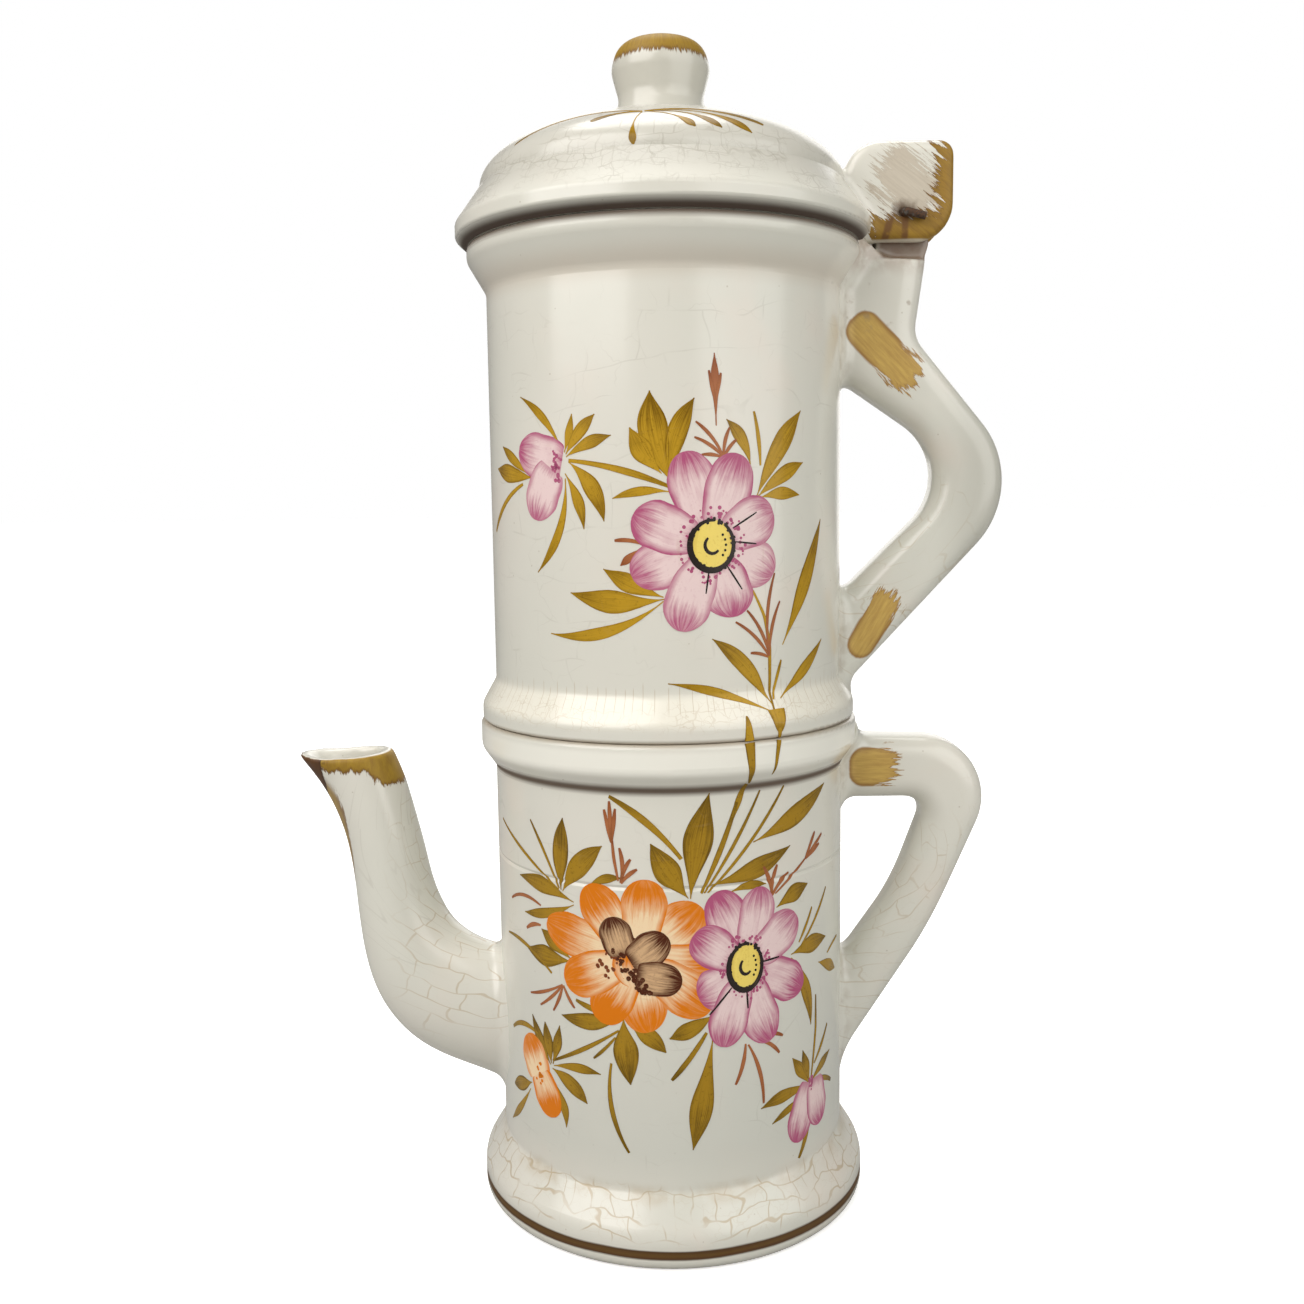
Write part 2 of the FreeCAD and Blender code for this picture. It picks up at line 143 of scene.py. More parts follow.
class DomeTop:
    """Outside of the lid's dome. Paint is placed on a plan of it, measured along the dome from its top."""

    def __init__(self):
        turn = np.linspace(math.pi / 2, 0.0, 200)
        self.radii = DOME_RADIUS * np.cos(turn)
        self.levels = DOME_BASE + DOME_RISE * np.sin(turn)
        step = np.hypot(np.diff(self.radii), np.diff(self.levels))
        self.lengths = np.concatenate([[0.0], np.cumsum(step)])
        self.tilts = np.arctan2(DOME_RADIUS * np.sin(turn), DOME_RISE * np.cos(turn))

    def place(self, across, back, lift):
        length = np.hypot(across, back)
        angle = np.arctan2(across, -back)
        tilt = np.interp(length, self.lengths, self.tilts)
        radius = np.interp(length, self.lengths, self.radii) + lift * np.cos(tilt)
        level = np.interp(length, self.lengths, self.levels) + lift * np.sin(tilt)
        return np.stack([radius * np.sin(angle), -radius * np.cos(angle), level], -1) * MM

    def normal_at(self, places):
        x, y, z = (places / MM).T
        normal = np.stack([x / DOME_RADIUS ** 2, y / DOME_RADIUS ** 2, (z - DOME_BASE) / DOME_RISE ** 2], -1)
        return normal / np.linalg.norm(normal, axis=1)[:, None]


POT_WALL = TurnedWall(POT_OUTLINE, POT_RADIUS)
VESSEL_WALL = TurnedWall(VESSEL_OUTLINE, VESSEL_RADIUS)
DOME = DomeTop()
LID_WALL = TurnedWall(LID_OUTLINE, FLANGE_RADIUS)
LID_WALL.heights = np.concatenate([LID_WALL.heights, DOME.levels[-2::-1]])
LID_WALL.radii = np.concatenate([LID_WALL.radii, DOME.radii[-2::-1]])


# Shader helpers

class Value:
    """A value in a shader. Arithmetic with it makes the shader's nodes."""

    def __init__(self, socket):
        self.socket = socket
        self.tree = socket.id_data

    def __add__(self, other):
        return calc("ADD", self, other)

    def __sub__(self, other):
        return calc("SUBTRACT", self, other)

    def __rsub__(self, other):
        return calc("SUBTRACT", other, self)

    def __mul__(self, other):
        return calc("MULTIPLY", self, other)

    def __truediv__(self, other):
        return calc("DIVIDE", self, other)

    def __rtruediv__(self, other):
        return calc("DIVIDE", other, self)

    def __abs__(self):
        return calc("ABSOLUTE", self)

    __radd__ = __add__
    __rmul__ = __mul__


def feed(made, inputs):
    """Feeds the sockets of a node with numbers or with other values."""
    for key, value in inputs.items():
        if isinstance(value, Value):
            made.id_data.links.new(value.socket, made.inputs[key])
        else:
            made.inputs[key].default_value = value


def put(tree, kind, inputs=None, **settings):
    """New shader node with its settings and its inputs."""
    made = tree.nodes.new("ShaderNode" + kind)
    for key, value in settings.items():
        setattr(made, key, value)
    feed(made, inputs or {})
    return made


def get(tree, kind, inputs=None, output=0, **settings):
    """What a new shader node puts out."""
    return Value(put(tree, kind, inputs, **settings).outputs[output])


def calc(operation, *values, clamp=False):
    tree = next(value.tree for value in values if isinstance(value, Value))
    return get(tree, "Math", dict(enumerate(values)), operation=operation, use_clamp=clamp)


def rise(value, low, high):
    """0 below low and 1 above high, with a smooth step between."""
    inputs = {"Value": value, "From Min": low, "From Max": high}
    return get(value.tree, "MapRange", inputs, "Result", interpolation_type="SMOOTHSTEP")


def band(value, low, high, soft):
    """1 between low and high, fading over soft on both sides."""
    return rise(value, low - soft, low + soft) * rise(value, high + soft, high - soft)


def mixed(amount, first, second):
    """Colour between first and second."""
    return get(amount.tree, "Mix", {0: amount, 6: first, 7: second}, 2, data_type="RGBA")


def noise(place, scale, detail=2.0, roughness=0.5, output="Fac"):
    inputs = {"Vector": place, "Scale": scale, "Detail": detail, "Roughness": roughness}
    return get(place.tree, "TexNoise", inputs, output)


def vectors(operation, first, second):
    return get(first.tree, "VectorMath", {0: first, 1: second}, operation=operation)


def scaled(vector, factor):
    return get(vector.tree, "VectorMath", {0: vector, "Scale": factor}, operation="SCALE")


def stretched(vector, x, y, z):
    return vectors("MULTIPLY", vector, (x, y, z))


def turned(vector, degrees):
    """Vector turned about the Y axis."""
    inputs = {"Vector": vector, "Angle": math.radians(degrees)}
    return get(vector.tree, "VectorRotate", inputs, rotation_type="Y_AXIS")


def joined(x, y, z=0.0):
    return get(x.tree, "CombineXYZ", {0: x, 1: y, 2: z})


def split(vector):
    return [Value(socket) for socket in put(vector.tree, "SeparateXYZ", {0: vector}).outputs]


def reach_of(x, y):
    """Distance of the point x, y from the middle."""
    return get(x.tree, "VectorMath", {0: joined(x, y)}, "Value", operation="LENGTH")


def rgb(red, green, blue):
    return (red, green, blue, 1.0)


def new_group(name, inputs):
    """Node group with named inputs and their values at first, and what it takes in by them."""
    tree = bpy.data.node_groups.new(name, "ShaderNodeTree")
    for label, value in inputs.items():
        kind = "NodeSocketVector" if value is ORIGIN else "NodeSocketFloat"
        tree.interface.new_socket(name=label, in_out="INPUT", socket_type=kind).default_value = value
    entry = tree.nodes.new("NodeGroupInput").outputs
    return tree, {label: Value(entry[label]) for label in inputs}


def end_group(tree, outputs):
    """Gives a node group its named outputs."""
    kinds = {"VALUE": "NodeSocketFloat", "VECTOR": "NodeSocketVector", "RGBA": "NodeSocketColor"}
    for label, value in outputs.items():
        tree.interface.new_socket(name=label, in_out="OUTPUT", socket_type=kinds[value.socket.type])
    feed(tree.nodes.new("NodeGroupOutput"), outputs)
    return tree


# Effects that more than one finish uses

def surface_places():
    """Places on the piece in millimetres: as they are, and unrolled from a turned wall."""
    tree = new_group("surface_places", {})[0]
    place = scaled(get(tree, "TexCoord", output="Object"), 1.0 / MM)
    x, y, height = split(place)
    reach = reach_of(x, y)
    wall = joined(calc("ARCTAN2", x, y * -1.0) * POT_RADIUS, height, reach)
    return end_group(tree, {"Place": place, "Wall": wall, "X": x, "Y": y, "Height": height, "Reach": reach})


def places_round_a_point():
    """Places unrolled round a point of the XZ plane, so that a pattern follows a bend."""
    usual_reach = 38.0
    tree, entry = new_group("places_round_a_point", {"Place": ORIGIN, "Centre X": 0.0, "Centre Z": 0.0})
    x, y, z = split(entry["Place"])
    x = x - entry["Centre X"]
    z = z - entry["Centre Z"]
    across = reach_of(x, z) + abs(y) * 0.6
    return end_group(tree, {"Bend": joined(calc("ARCTAN2", z, x) * usual_reach, across, y)})


def glaze_cracks():
    """Cracks in the glaze: blocks with long and short sides, and a fine web, both broken up."""
    inputs = {"Vector": ORIGIN, "Block": 9.0, "Line": 0.05, "Web": 6.0, "Whole": 0.5}
    tree, entry = new_group("glaze_cracks", inputs)
    place, line = entry["Vector"], entry["Line"]
    cells = scaled(place, 1.0 / entry["Block"])
    bent = vectors("SUBTRACT", noise(cells, 0.75, output="Color"), (0.5, 0.5, 0.5))
    cells = vectors("ADD", cells, scaled(bent, 1.2))
    bricks = {"Vector": cells, "Scale": 1.0, "Mortar Size": line, "Mortar Smooth": 0.6, "Brick Width": 1.0,
              "Row Height": 0.52}
    blocks = get(tree, "TexBrick", bricks, "Fac", offset=0.37, squash=0.62, squash_frequency=3)
    fine = scaled(place, 1.0 / entry["Web"])
    fine = vectors("ADD", fine, scaled(noise(fine, 2.2, output="Color"), 0.55))
    edge = get(tree, "TexVoronoi", {"Vector": fine, "Scale": 1.0}, "Distance", feature="DISTANCE_TO_EDGE")
    web = rise(edge, line, 0.0)
    gone = 1.0 - entry["Whole"]
    kept = rise(noise(place, 0.11, 3.0), gone - 0.12, gone + 0.12)
    return end_group(tree, {"Blocks": blocks * kept, "Web": web * kept})


def ivory_glaze():
    """Ivory glaze: its slow changes of tint, small pits and unevenness."""
    tree, entry = new_group("ivory_glaze", {"Place": ORIGIN})
    place = entry["Place"]
    slow = rise(noise(place, 0.013), 0.35, 0.65)
    warm = rise(noise(place, 0.03, 3.0), 0.52, 0.78)
    spots = get(tree, "TexVoronoi", {"Vector": place, "Scale": 0.16}, "Distance", feature="F1")
    pits = rise(spots, 0.055, 0.02)
    fine = noise(place, 1.6, 3.0)
    colour = mixed(slow, rgb(0.70, 0.68, 0.61), rgb(0.665, 0.66, 0.59))
    colour = mixed(warm, colour, rgb(0.71, 0.66, 0.585))
    colour = mixed(pits * 0.4, colour, rgb(0.30, 0.24, 0.16))
    relief = noise(place, 0.06) + fine * 0.03
    return end_group(tree, {"Colour": colour, "Gloss": fine * 0.10 + 0.17, "Relief": relief})


def dry_brush():
    """Edge of brushed colour: a level above 0 is painted, and the bristles leave it ragged."""
    tree, entry = new_group("dry_brush", {"Level": 0.0, "Bristles": ORIGIN, "Ragged": 2.0})
    hairs = noise(entry["Bristles"], 1.0, 4.0, 0.7)
    level = entry["Level"] + (hairs - 0.5) * (entry["Ragged"] * 4.0)
    depth = (hairs - 0.28) * 1.5 + rise(level, 1.6, 0.0) * 0.8
    return end_group(tree, {"Paint": rise(level, -0.35, 0.35), "Depth": depth})


PLACES = surface_places()
ROUND_POINT = places_round_a_point()
CRACKS = glaze_cracks()
IVORY = ivory_glaze()
BRUSH = dry_brush()

OCHRE_PALE = rgb(0.60, 0.39, 0.07)
OCHRE_DEEP = rgb(0.29, 0.135, 0.008)
GILT_PALE = rgb(0.37, 0.225, 0.010)
GILT_DEEP = rgb(0.16, 0.070, 0.002)
EDGE_HIGHLIGHT_IVORY = rgb(0.70, 0.66, 0.56)
BROWN_DRIP = rgb(0.13, 0.05, 0.008)
CRACK_TAN = rgb(0.42, 0.30, 0.15)
CRACK_GREY = rgb(0.36, 0.33, 0.27)
# Brown used for real dirt, for painted shade at the seam between the tiers, and for darker clouds where limbs
# meet the walls
DIRT_AND_SHADE_BROWN = rgb(0.27, 0.19, 0.11)
SHADE_BROWN = rgb(0.17, 0.105, 0.065)
# Painted shade with some dirt in narrow gaps, and darker painted shadow under the lid's flange
GAP_SHADE_AND_DIRT_BROWN = rgb(0.085, 0.048, 0.026)
GAP_SHADOW_BLACK = rgb(0.04, 0.02, 0.01)


class Finish:
    """A material that is built up in layers over ivory glaze."""

    def __init__(self, name):
        self.material = bpy.data.materials.new(name)
        self.material.use_nodes = True
        self.tree = self.material.node_tree
        self.shader = self.tree.nodes["Principled BSDF"]
        at = self.group(PLACES, {})
        self.place, self.wall, self.reach = at["Place"], at["Wall"], at["Reach"]
        self.x, self.y, self.height = at["X"], at["Y"], at["Height"]
        base = self.group(IVORY, {"Place": self.place})
        self.colour, self.gloss, self.relief = base["Colour"], base["Gloss"], base["Relief"]
        self.coat = 0.35

    def group(self, tree, inputs):
        """What a node group puts out, by name."""
        made = put(self.tree, "Group", inputs, node_tree=tree)
        return {socket.name: Value(socket) for socket in made.outputs}

    def tint(self, mask, colour, strength=1.0):
        self.colour = mixed(calc("MULTIPLY", mask, strength, clamp=True), self.colour, colour)

    def matt(self, mask, roughness):
        """Dull surface without a coat of glaze where the mask is."""
        self.gloss = calc("MAXIMUM", self.gloss, mask * roughness)
        self.coat = self.coat * (1.0 - mask)

    def gap_shade_and_dirt(self, mask, colour, strength):
        """Painted shade, with some dirt, in a narrow gap: the colour is darkened there and made matt."""
        self.tint(mask, colour, strength)
        self.matt(mask, 0.85)

    def cracks(self, vector, where, block, web, whole, blocks=0.0, webs=0.0, line=0.045, colour=CRACK_TAN):
        """Lays cracks where the mask is, with the strength of blocks and of the fine web."""
        inputs = {"Vector": vector, "Block": block, "Web": web, "Whole": whole, "Line": line}
        found = self.group(CRACKS, inputs)
        lines = calc("MAXIMUM", found["Blocks"] * blocks, found["Web"] * webs) * where
        self.tint(lines, colour)
        self.relief = self.relief - lines * 0.25

    def brush(self, level, bristles, ragged, strength=1.0, pale=OCHRE_PALE, deep=OCHRE_DEEP):
        """Brushed colour where level is above 0."""
        made = self.group(BRUSH, {"Level": level, "Bristles": bristles, "Ragged": ragged})
        ink = mixed(calc("MULTIPLY", made["Depth"], 1.0, clamp=True), pale, deep)
        self.tint(made["Paint"], ink, strength)
        self.matt(made["Paint"] * strength, 0.55)

    def gilt(self, level, bristles, ragged, strength=1.0):
        self.brush(level, bristles, ragged, strength, GILT_PALE, GILT_DEEP)

    def bend(self, x, z):
        return self.group(ROUND_POINT, {"Place": self.place, "Centre X": x, "Centre Z": z})["Bend"]

    def darker_near_wall(self, wall_radius):
        """Darker colour, in broken clouds, close to where a limb meets the wall."""
        near = rise(self.reach, wall_radius + 5.0, wall_radius)
        cloud = noise(self.place, 0.22, 3.0)
        self.tint(near * rise(cloud, 0.42, 0.7), DIRT_AND_SHADE_BROWN, 0.35)

    def done(self):
        relief = {"Height": self.relief, "Distance": 0.25 * MM, "Strength": 0.5}
        feed(self.shader, {
            "Base Color": self.colour,
            "Roughness": self.gloss,
            "Normal": get(self.tree, "Bump", relief, "Normal"),
            "IOR": 1.5,
            "Coat Weight": self.coat,
            "Coat Roughness": 0.22,
        })
        return self.material


def turned_box(finish, x, z, degrees, half_length, half_width, corner):
    """Level above 0 inside a rounded box that lies aslant in the XZ plane, and its own coordinates."""
    local = turned(vectors("SUBTRACT", finish.place, (x, 0.0, z)), degrees)
    along, _, across = split(local)
    past_end = calc("MAXIMUM", abs(along) - (half_length - corner), 0.0)
    past_side = calc("MAXIMUM", abs(across) - (half_width - corner), 0.0)
    return corner - reach_of(past_end, past_side), local, along


# Finishes of the clay pieces, as the layers that each lays over the ivory glaze

def finished(name, layers):
    finish = Finish(name)
    layers(finish)
    return finish.done()


def pot_layers(finish):
    height, wall = finish.height, finish.wall
    # Painted shade: the wall darkens, a little greyer, towards the bottom of the pot
    lower = rise(height, 128.0, 40.0) * rise(height, 20.0, 32.0)
    finish.tint(lower, rgb(0.60, 0.605, 0.545), 0.7)
    foot = band(height, 8.6, 20.6, 1.6)
    finish.cracks(wall, foot, 9.0, 4.4, 0.58, blocks=0.55, webs=0.14, line=0.032)
    # Tan, in broken clouds, along the crease where the foot meets the wall
    stain = band(height, 17.0, 21.0, 1.8) * rise(noise(wall, 0.12, 3.0), 0.4, 0.7)
    finish.tint(stain, CRACK_TAN, 0.35)
    middle = band(height, 26.0, 128.0, 4.0)
    finish.cracks(wall, middle, 24.0, 17.0, 0.42, blocks=0.18, webs=0.14, line=0.012, colour=CRACK_GREY)
    # Painted highlight: the lower moulding is lightened
    ring = band(height, 136.0, 143.0, 1.5)
    finish.tint(ring, rgb(0.92, 0.91, 0.83), 0.6)
    # Painted shade, with some dirt: a dark matt band under the lower moulding
    shade_and_dirt_under_ring = band(height, 130.6, 133.0, 1.0)
    finish.gap_shade_and_dirt(shade_and_dirt_under_ring, GAP_SHADE_AND_DIRT_BROWN, 0.92)
    # Painted shade at the seam between the tiers: the top of the pot darkens towards it
    finish.tint(rise(height, 143.2, SEAM_HEIGHT), DIRT_AND_SHADE_BROWN, 0.55)
    foot_line = noise(wall, 0.035) * 0.9 + 4.5
    level = 1.3 - abs(height - foot_line)
    bristles = stretched(wall, 0.05, 2.6, 0.0)
    finish.brush(level, bristles, 0.12, pale=rgb(0.15, 0.07, 0.004), deep=rgb(0.07, 0.028, 0.002))
    bare = rise(height, 0.9, 0.3)
    finish.tint(bare, rgb(0.62, 0.53, 0.41))
    finish.matt(bare, 0.8)


def vessel_layers(finish):
    height, wall = finish.height, finish.wall
    # Lighter, warmer band on the upper moulding: partly a warmer cream tone, partly a painted highlight
    warm = band(height, 149.0, 157.0, 2.0)
    finish.tint(warm, rgb(0.90, 0.86, 0.74), 0.55)
    # Painted shade at the seam between the tiers: the bottom of the vessel darkens towards it
    finish.tint(rise(height, 146.0, 144.6), DIRT_AND_SHADE_BROWN, 0.55)
    inputs = {"W": split(wall)[0], "Scale": 0.34}
    shape = {"feature": "DISTANCE_TO_EDGE", "voronoi_dimensions": "1D"}
    ticks = rise(get(finish.tree, "TexVoronoi", inputs, "Distance", **shape), 0.045, 0.01)
    tops = noise(stretched(wall, 0.35, 0.0, 0.0), 1.0) * 8.0 + 155.0
    strip = rise(height, 151.0, 154.0) * rise(height - tops, 0.6, -0.6)
    finish.tint(ticks * strip, CRACK_TAN, 0.5)
    ring = band(height, 148.0, 155.0, 1.5)
    finish.cracks(wall, ring, 6.0, 3.8, 0.56, blocks=0.22, webs=0.30, line=0.03)
    middle = band(height, 160.0, 262.0, 4.0)
    finish.cracks(wall, middle, 26.0, 16.0, 0.46, blocks=0.19, webs=0.17, line=0.012, colour=CRACK_GREY)
    # Painted shade under the collar
    shade_under_collar = band(height, 265.0, 271.5, 3.0)
    finish.tint(shade_under_collar, rgb(0.50, 0.41, 0.32), 0.4)
    # Painted shade: the outer edge of the collar's top, just under the lid, is dark and matt
    rim = rise(height, 277.2, 279.4) * rise(finish.reach, 55.2, 56.2)
    finish.gap_shade_and_dirt(rim, GAP_SHADE_AND_DIRT_BROWN, 0.9)


def lid_layers(finish):
    height, wall = finish.height, finish.wall
    # Painted shade on the dome above the flange, so that it is less bright under the light from above; the
    # same mask carries its cracks
    dome = rise(height, 286.0, 294.0)
    finish.tint(dome, rgb(0.55, 0.535, 0.475), 0.8)
    finish.cracks(wall, dome, 8.0, 5.2, 0.54, blocks=0.40, webs=0.22, line=0.03, colour=CRACK_GREY)
    flange = band(height, 286.0, 297.0, 1.5)
    finish.cracks(wall, flange, 6.5, 4.2, 0.52, blocks=0.36, webs=0.34, line=0.035, colour=CRACK_GREY)
    # Painted shadow: the outer part of the flange's underside, over the gap under the lid, is dark and matt
    under = rise(height, 283.0, 280.6) * rise(finish.reach, 55.6, 56.6)
    finish.gap_shade_and_dirt(under, GAP_SHADOW_BLACK, 0.97)


def knob_layers(finish):
    # Painted shade: the upper part of the knob is darkened
    upper = rise(finish.height, KNOB_TOP - 30.0, KNOB_TOP - 18.0)
    finish.tint(upper, rgb(0.54, 0.525, 0.46), 0.75)
    finish.gilt(finish.height - (KNOB_TOP - 6.0), stretched(finish.wall, 0.42, 0.12, 0.0), 1.6)


def block_layers(finish):
    slant = -38.0
    slanted = turned(finish.place, slant)
    x = finish.x - PIN_X
    z = finish.height - PIN_Z
    scrubbed = turned_box(finish, PIN_X + 1.0, PIN_Z + 7.6, slant, 9.6, 7.4, 6.0)[0]
    bristles = stretched(slanted, 0.10, 0.5, 1.9)
    finish.brush(scrubbed, bristles, 6.0, 0.66, pale=rgb(0.53, 0.45, 0.34), deep=rgb(0.27, 0.19, 0.11))
    right_or_bottom = calc("MAXIMUM", x - 8.6, -0.4 - z)
    left_end = (x + 11.6) + z * 0.35
    level = calc("MINIMUM", right_or_bottom, left_end)
    bristles = stretched(slanted, 0.09, 0.3, 1.1)
    finish.brush(level, bristles, 4.6, pale=rgb(0.35, 0.20, 0.012), deep=rgb(0.14, 0.060, 0.002))
    cloud = noise(finish.place, 0.5, 3.0)
    round_pin = rise(reach_of(x, z) + cloud * 4.0, 6.8, 3.6)
    finish.tint(round_pin, rgb(0.10, 0.05, 0.02), 0.75)
    for offset, lean, width in ((-3.4, 0.25, 1.5), (0.3, 0.0, 1.3)):
        aside = abs(x - (z * lean + offset))
        drip = rise(aside, width, width * 0.4) * band(z, -7.6, -1.0, 1.0)
        finish.tint(drip * rise(cloud, 0.2, 0.5), BROWN_DRIP, 0.85)
    # Painted highlight: a pale line along the bottom edge of the block
    finish.tint(rise(z, -7.0, -7.6), EDGE_HIGHLIGHT_IVORY, 0.8)


def limb_patch(finish, x, z, degrees, half_length, half_width, corner, ragged):
    """Ochre patch on a limb. Its end along +X of the patch is ragged, and the other is clean."""
    level, local, along = turned_box(finish, x, z, degrees, half_length, half_width, corner)
    end = rise(along, -half_length * 0.2, half_length)
    finish.brush(level, stretched(local, 0.10, 0.35, 0.9), end * ragged + 0.15, 0.95)


def vessel_handle_layers(finish):
    x, height = finish.x, finish.height
    along = stretched(finish.bend(58.0, 214.0), 0.4, 1.25, 0.0)
    lower = rise(height, 222.0, 205.0)
    finish.cracks(along, lower, 10.0, 5.0, 0.50, blocks=0.32, webs=0.08, line=0.025)
    # Painted shade: the handle darkens towards its outer elbow
    finish.tint(rise(x, 76.0, 92.0), rgb(0.47, 0.465, 0.41), 0.75)
    elbow = rise(x, 84.0, 96.0)
    finish.cracks(finish.place, elbow, 8.0, 4.5, 0.42, webs=0.20, line=0.04, colour=CRACK_GREY)
    finish.darker_near_wall(VESSEL_RADIUS)
    limb_patch(finish, 62.9, 249.6, -46.0, 13.0, 5.4, 4.4, 4.5)
    limb_patch(finish, 60.4, 171.0, 60.0, 11.0, 4.3, 4.2, 4.0)
    dirt = noise(finish.place, 0.25, 3.0)
    # Painted shade with real dirt, in broken clouds, on the top of the post under the thumb block
    post_top_shade_and_dirt = rise(height, 269.0, 276.0) * rise(dirt, 0.3, 0.6)
    finish.tint(post_top_shade_and_dirt, rgb(0.36, 0.25, 0.19), 0.5)
    tongue = rise(height, 274.8, 275.8) * rise(x, 60.5, 63.0)
    finish.tint(tongue, SHADE_BROWN, 0.85)
    spots = band(height, 255.0, 270.0, 3.0) * rise(dirt, 0.62, 0.75)
    finish.tint(spots, DIRT_AND_SHADE_BROWN, 0.5)


def pot_handle_layers(finish):
    along = stretched(finish.bend(58.0, 104.0), 0.4, 1.2, 0.0)
    lower = rise(finish.height, 118.0, 104.0)
    finish.cracks(along, lower, 10.0, 5.0, 0.52, blocks=0.34, webs=0.1, line=0.025)
    elbow = rise(finish.x, 84.0, 96.0)
    finish.cracks(finish.place, elbow, 7.0, 4.5, 0.48, webs=0.28, line=0.04)
    finish.darker_near_wall(POT_RADIUS)
    limb_patch(finish, 60.4, 128.5, 0.0, 7.0, 5.9, 4.4, 4.0)


def spout_layers(finish):
    x, y, height = finish.x, finish.y, finish.height
    bend = finish.bend(-50.0, 112.0)
    root = rise(x, -88.0, -72.0) * rise(height, 46.0, 58.0)
    cells = stretched(bend, 0.9, 1.1, 0.0)
    finish.cracks(cells, root, 10.5, 6.0, 0.58, blocks=0.45, webs=0.04, line=0.025)
    neck = band(height, 70.0, 124.0, 6.0)
    along = stretched(bend, 0.09, 1.5, 0.0)
    finish.cracks(along, neck, 7.0, 5.0, 0.50, blocks=0.22, line=0.022, colour=CRACK_GREY)
    facing_x, facing_y, _ = split(get(finish.tree, "TexCoord", output="Normal"))
    out_x = x - MOUTH_X
    facing_out = (facing_x * out_x + facing_y * y) / (reach_of(out_x, y) + 0.01)
    outside = rise(facing_out, 0.2, 0.5)
    lip = (height - 129.2) + rise(x, -91.0, -84.0) * 4.5
    bristles = stretched(finish.place, 0.55, 0.55, 0.10)
    finish.gilt(lip, bristles, 1.9, outside)
    upper = height - 92.0
    half_width = calc("POWER", calc("MAXIMUM", upper, 0.0), 0.35) * 2.4
    front_stroke = calc("MINIMUM", half_width - abs(y), upper)
    front = rise(facing_x, -0.40, -0.65) * rise(x, -89.5, -92.0) * 0.9
    finish.gilt(front_stroke, stretched(finish.place, 0.7, 0.7, 0.05), 1.3, front)
    tip = -102.6 - x
    finish.brush(tip, bristles, 1.2, outside, pale=rgb(0.10, 0.036, 0.002), deep=rgb(0.045, 0.014, 0.001))


def inner_layers(finish):
    stain = noise(finish.place, 0.09, 3.0)
    finish.tint(rise(stain, 0.45, 0.75), rgb(0.50, 0.36, 0.20), 0.45)
    finish.cracks(finish.place, rise(stain, 0.0, 0.2), 7.0, 5.0, 0.6, webs=0.35, line=0.05)


def wire_layers(finish):
    fine = noise(finish.place, 1.8, 4.0, 0.7)
    coarse = noise(finish.place, 0.6, 3.0)
    rust = mixed(rise(fine, 0.35, 0.65), rgb(0.03, 0.023, 0.018), rgb(0.11, 0.05, 0.022))
    finish.colour = mixed(rise(coarse, 0.5, 0.7), rust, rgb(0.13, 0.12, 0.11))
    finish.gloss = fine * 0.4 + 0.45
    finish.relief = fine
    finish.coat = 0.0
    feed(finish.shader, {"Metallic": 0.35})


# Marks that every brush stroke carries for its finish
MARKS = ("across", "along", "tone", "depth")


def paint_finish(name, pale, deep, tip, tip_start, edge, streaks, fleck, root=0.0):
    """Painted colour under the glaze: pale in the middle of a stroke, deeper at its tip, edges and root."""
    finish = Finish(name)
    across, along, tone, depth = [
        get(finish.tree, "Attribute", output="Fac", attribute_name=mark) for mark in MARKS]
    hairs = joined(across * 6.0, along, tone * 37.0)
    streak = noise(hairs, 1.7, 4.0, 0.65) - 0.5
    wash = noise(finish.place, 0.25) - 0.5
    pulled = along + streak * 0.5
    at_tip = rise(pulled, tip_start, tip_start + 0.55) * tip
    at_edge = rise(abs(across), 0.55, 1.0) * edge
    at_root = rise(pulled, 0.24, 0.0) * root
    most = calc("MAXIMUM", calc("MAXIMUM", at_tip, at_edge), at_root)
    amount = most + depth + streak * streaks + wash * 0.5
    amount = calc("ADD", amount, (tone - 0.5) * 0.3, clamp=True)
    finish.colour = mixed(amount, pale, deep)
    grain = noise(finish.place, 1.3, 3.0, 0.6)
    finish.tint(rise(grain, 0.56, 0.70), deep, fleck)
    finish.cracks(finish.wall, 1.0, 24.0, 17.0, 0.42, blocks=0.12, webs=0.10, line=0.012)
    finish.coat = 0.0
    feed(finish.shader, {"Specular IOR Level": 0.2})
    return finish.done()


# Clay pieces with soft seams

# Grain of the clay's mesh, how near a wall counts as touching it and how deep a root goes in, in millimetres
CLAY_GRAIN = 0.6
TOUCHING = 0.08
ROOT_SINK = 1.5
# Rounds of easing after a change of shape and after the seam
RESHAPE_ROUNDS = 7
SEAM_ROUNDS = 3
# How far the beak goes forward and up, in millimetres, and the share by which it gets wider
BEAK_FORWARD = 0.85
BEAK_LIFT = 1.7
BEAK_WIDER = 0.7


def new_object(name, data):
    made = bpy.data.objects.new(name, data)
    bpy.context.scene.collection.objects.link(made)
    return made


def read_places(mesh, what="co"):
    values = np.empty(len(mesh.vertices) * 3)
    mesh.vertices.foreach_get(what, values)
    return values.reshape(-1, 3)


def write_places(mesh, places):
    mesh.vertices.foreach_set("co", places.ravel())
    mesh.update()


def evened(places, edges, rounds):
    """Places drawn half way to the middle of their neighbours, round after round."""
    count = np.bincount(edges.ravel(), minlength=len(places))[:, None]
    for _ in range(rounds):
        total = np.zeros_like(places)
        np.add.at(total, edges[:, 0], places[edges[:, 1]])
        np.add.at(total, edges[:, 1], places[edges[:, 0]])
        places = places + (total / count - places) * 0.5
    return places


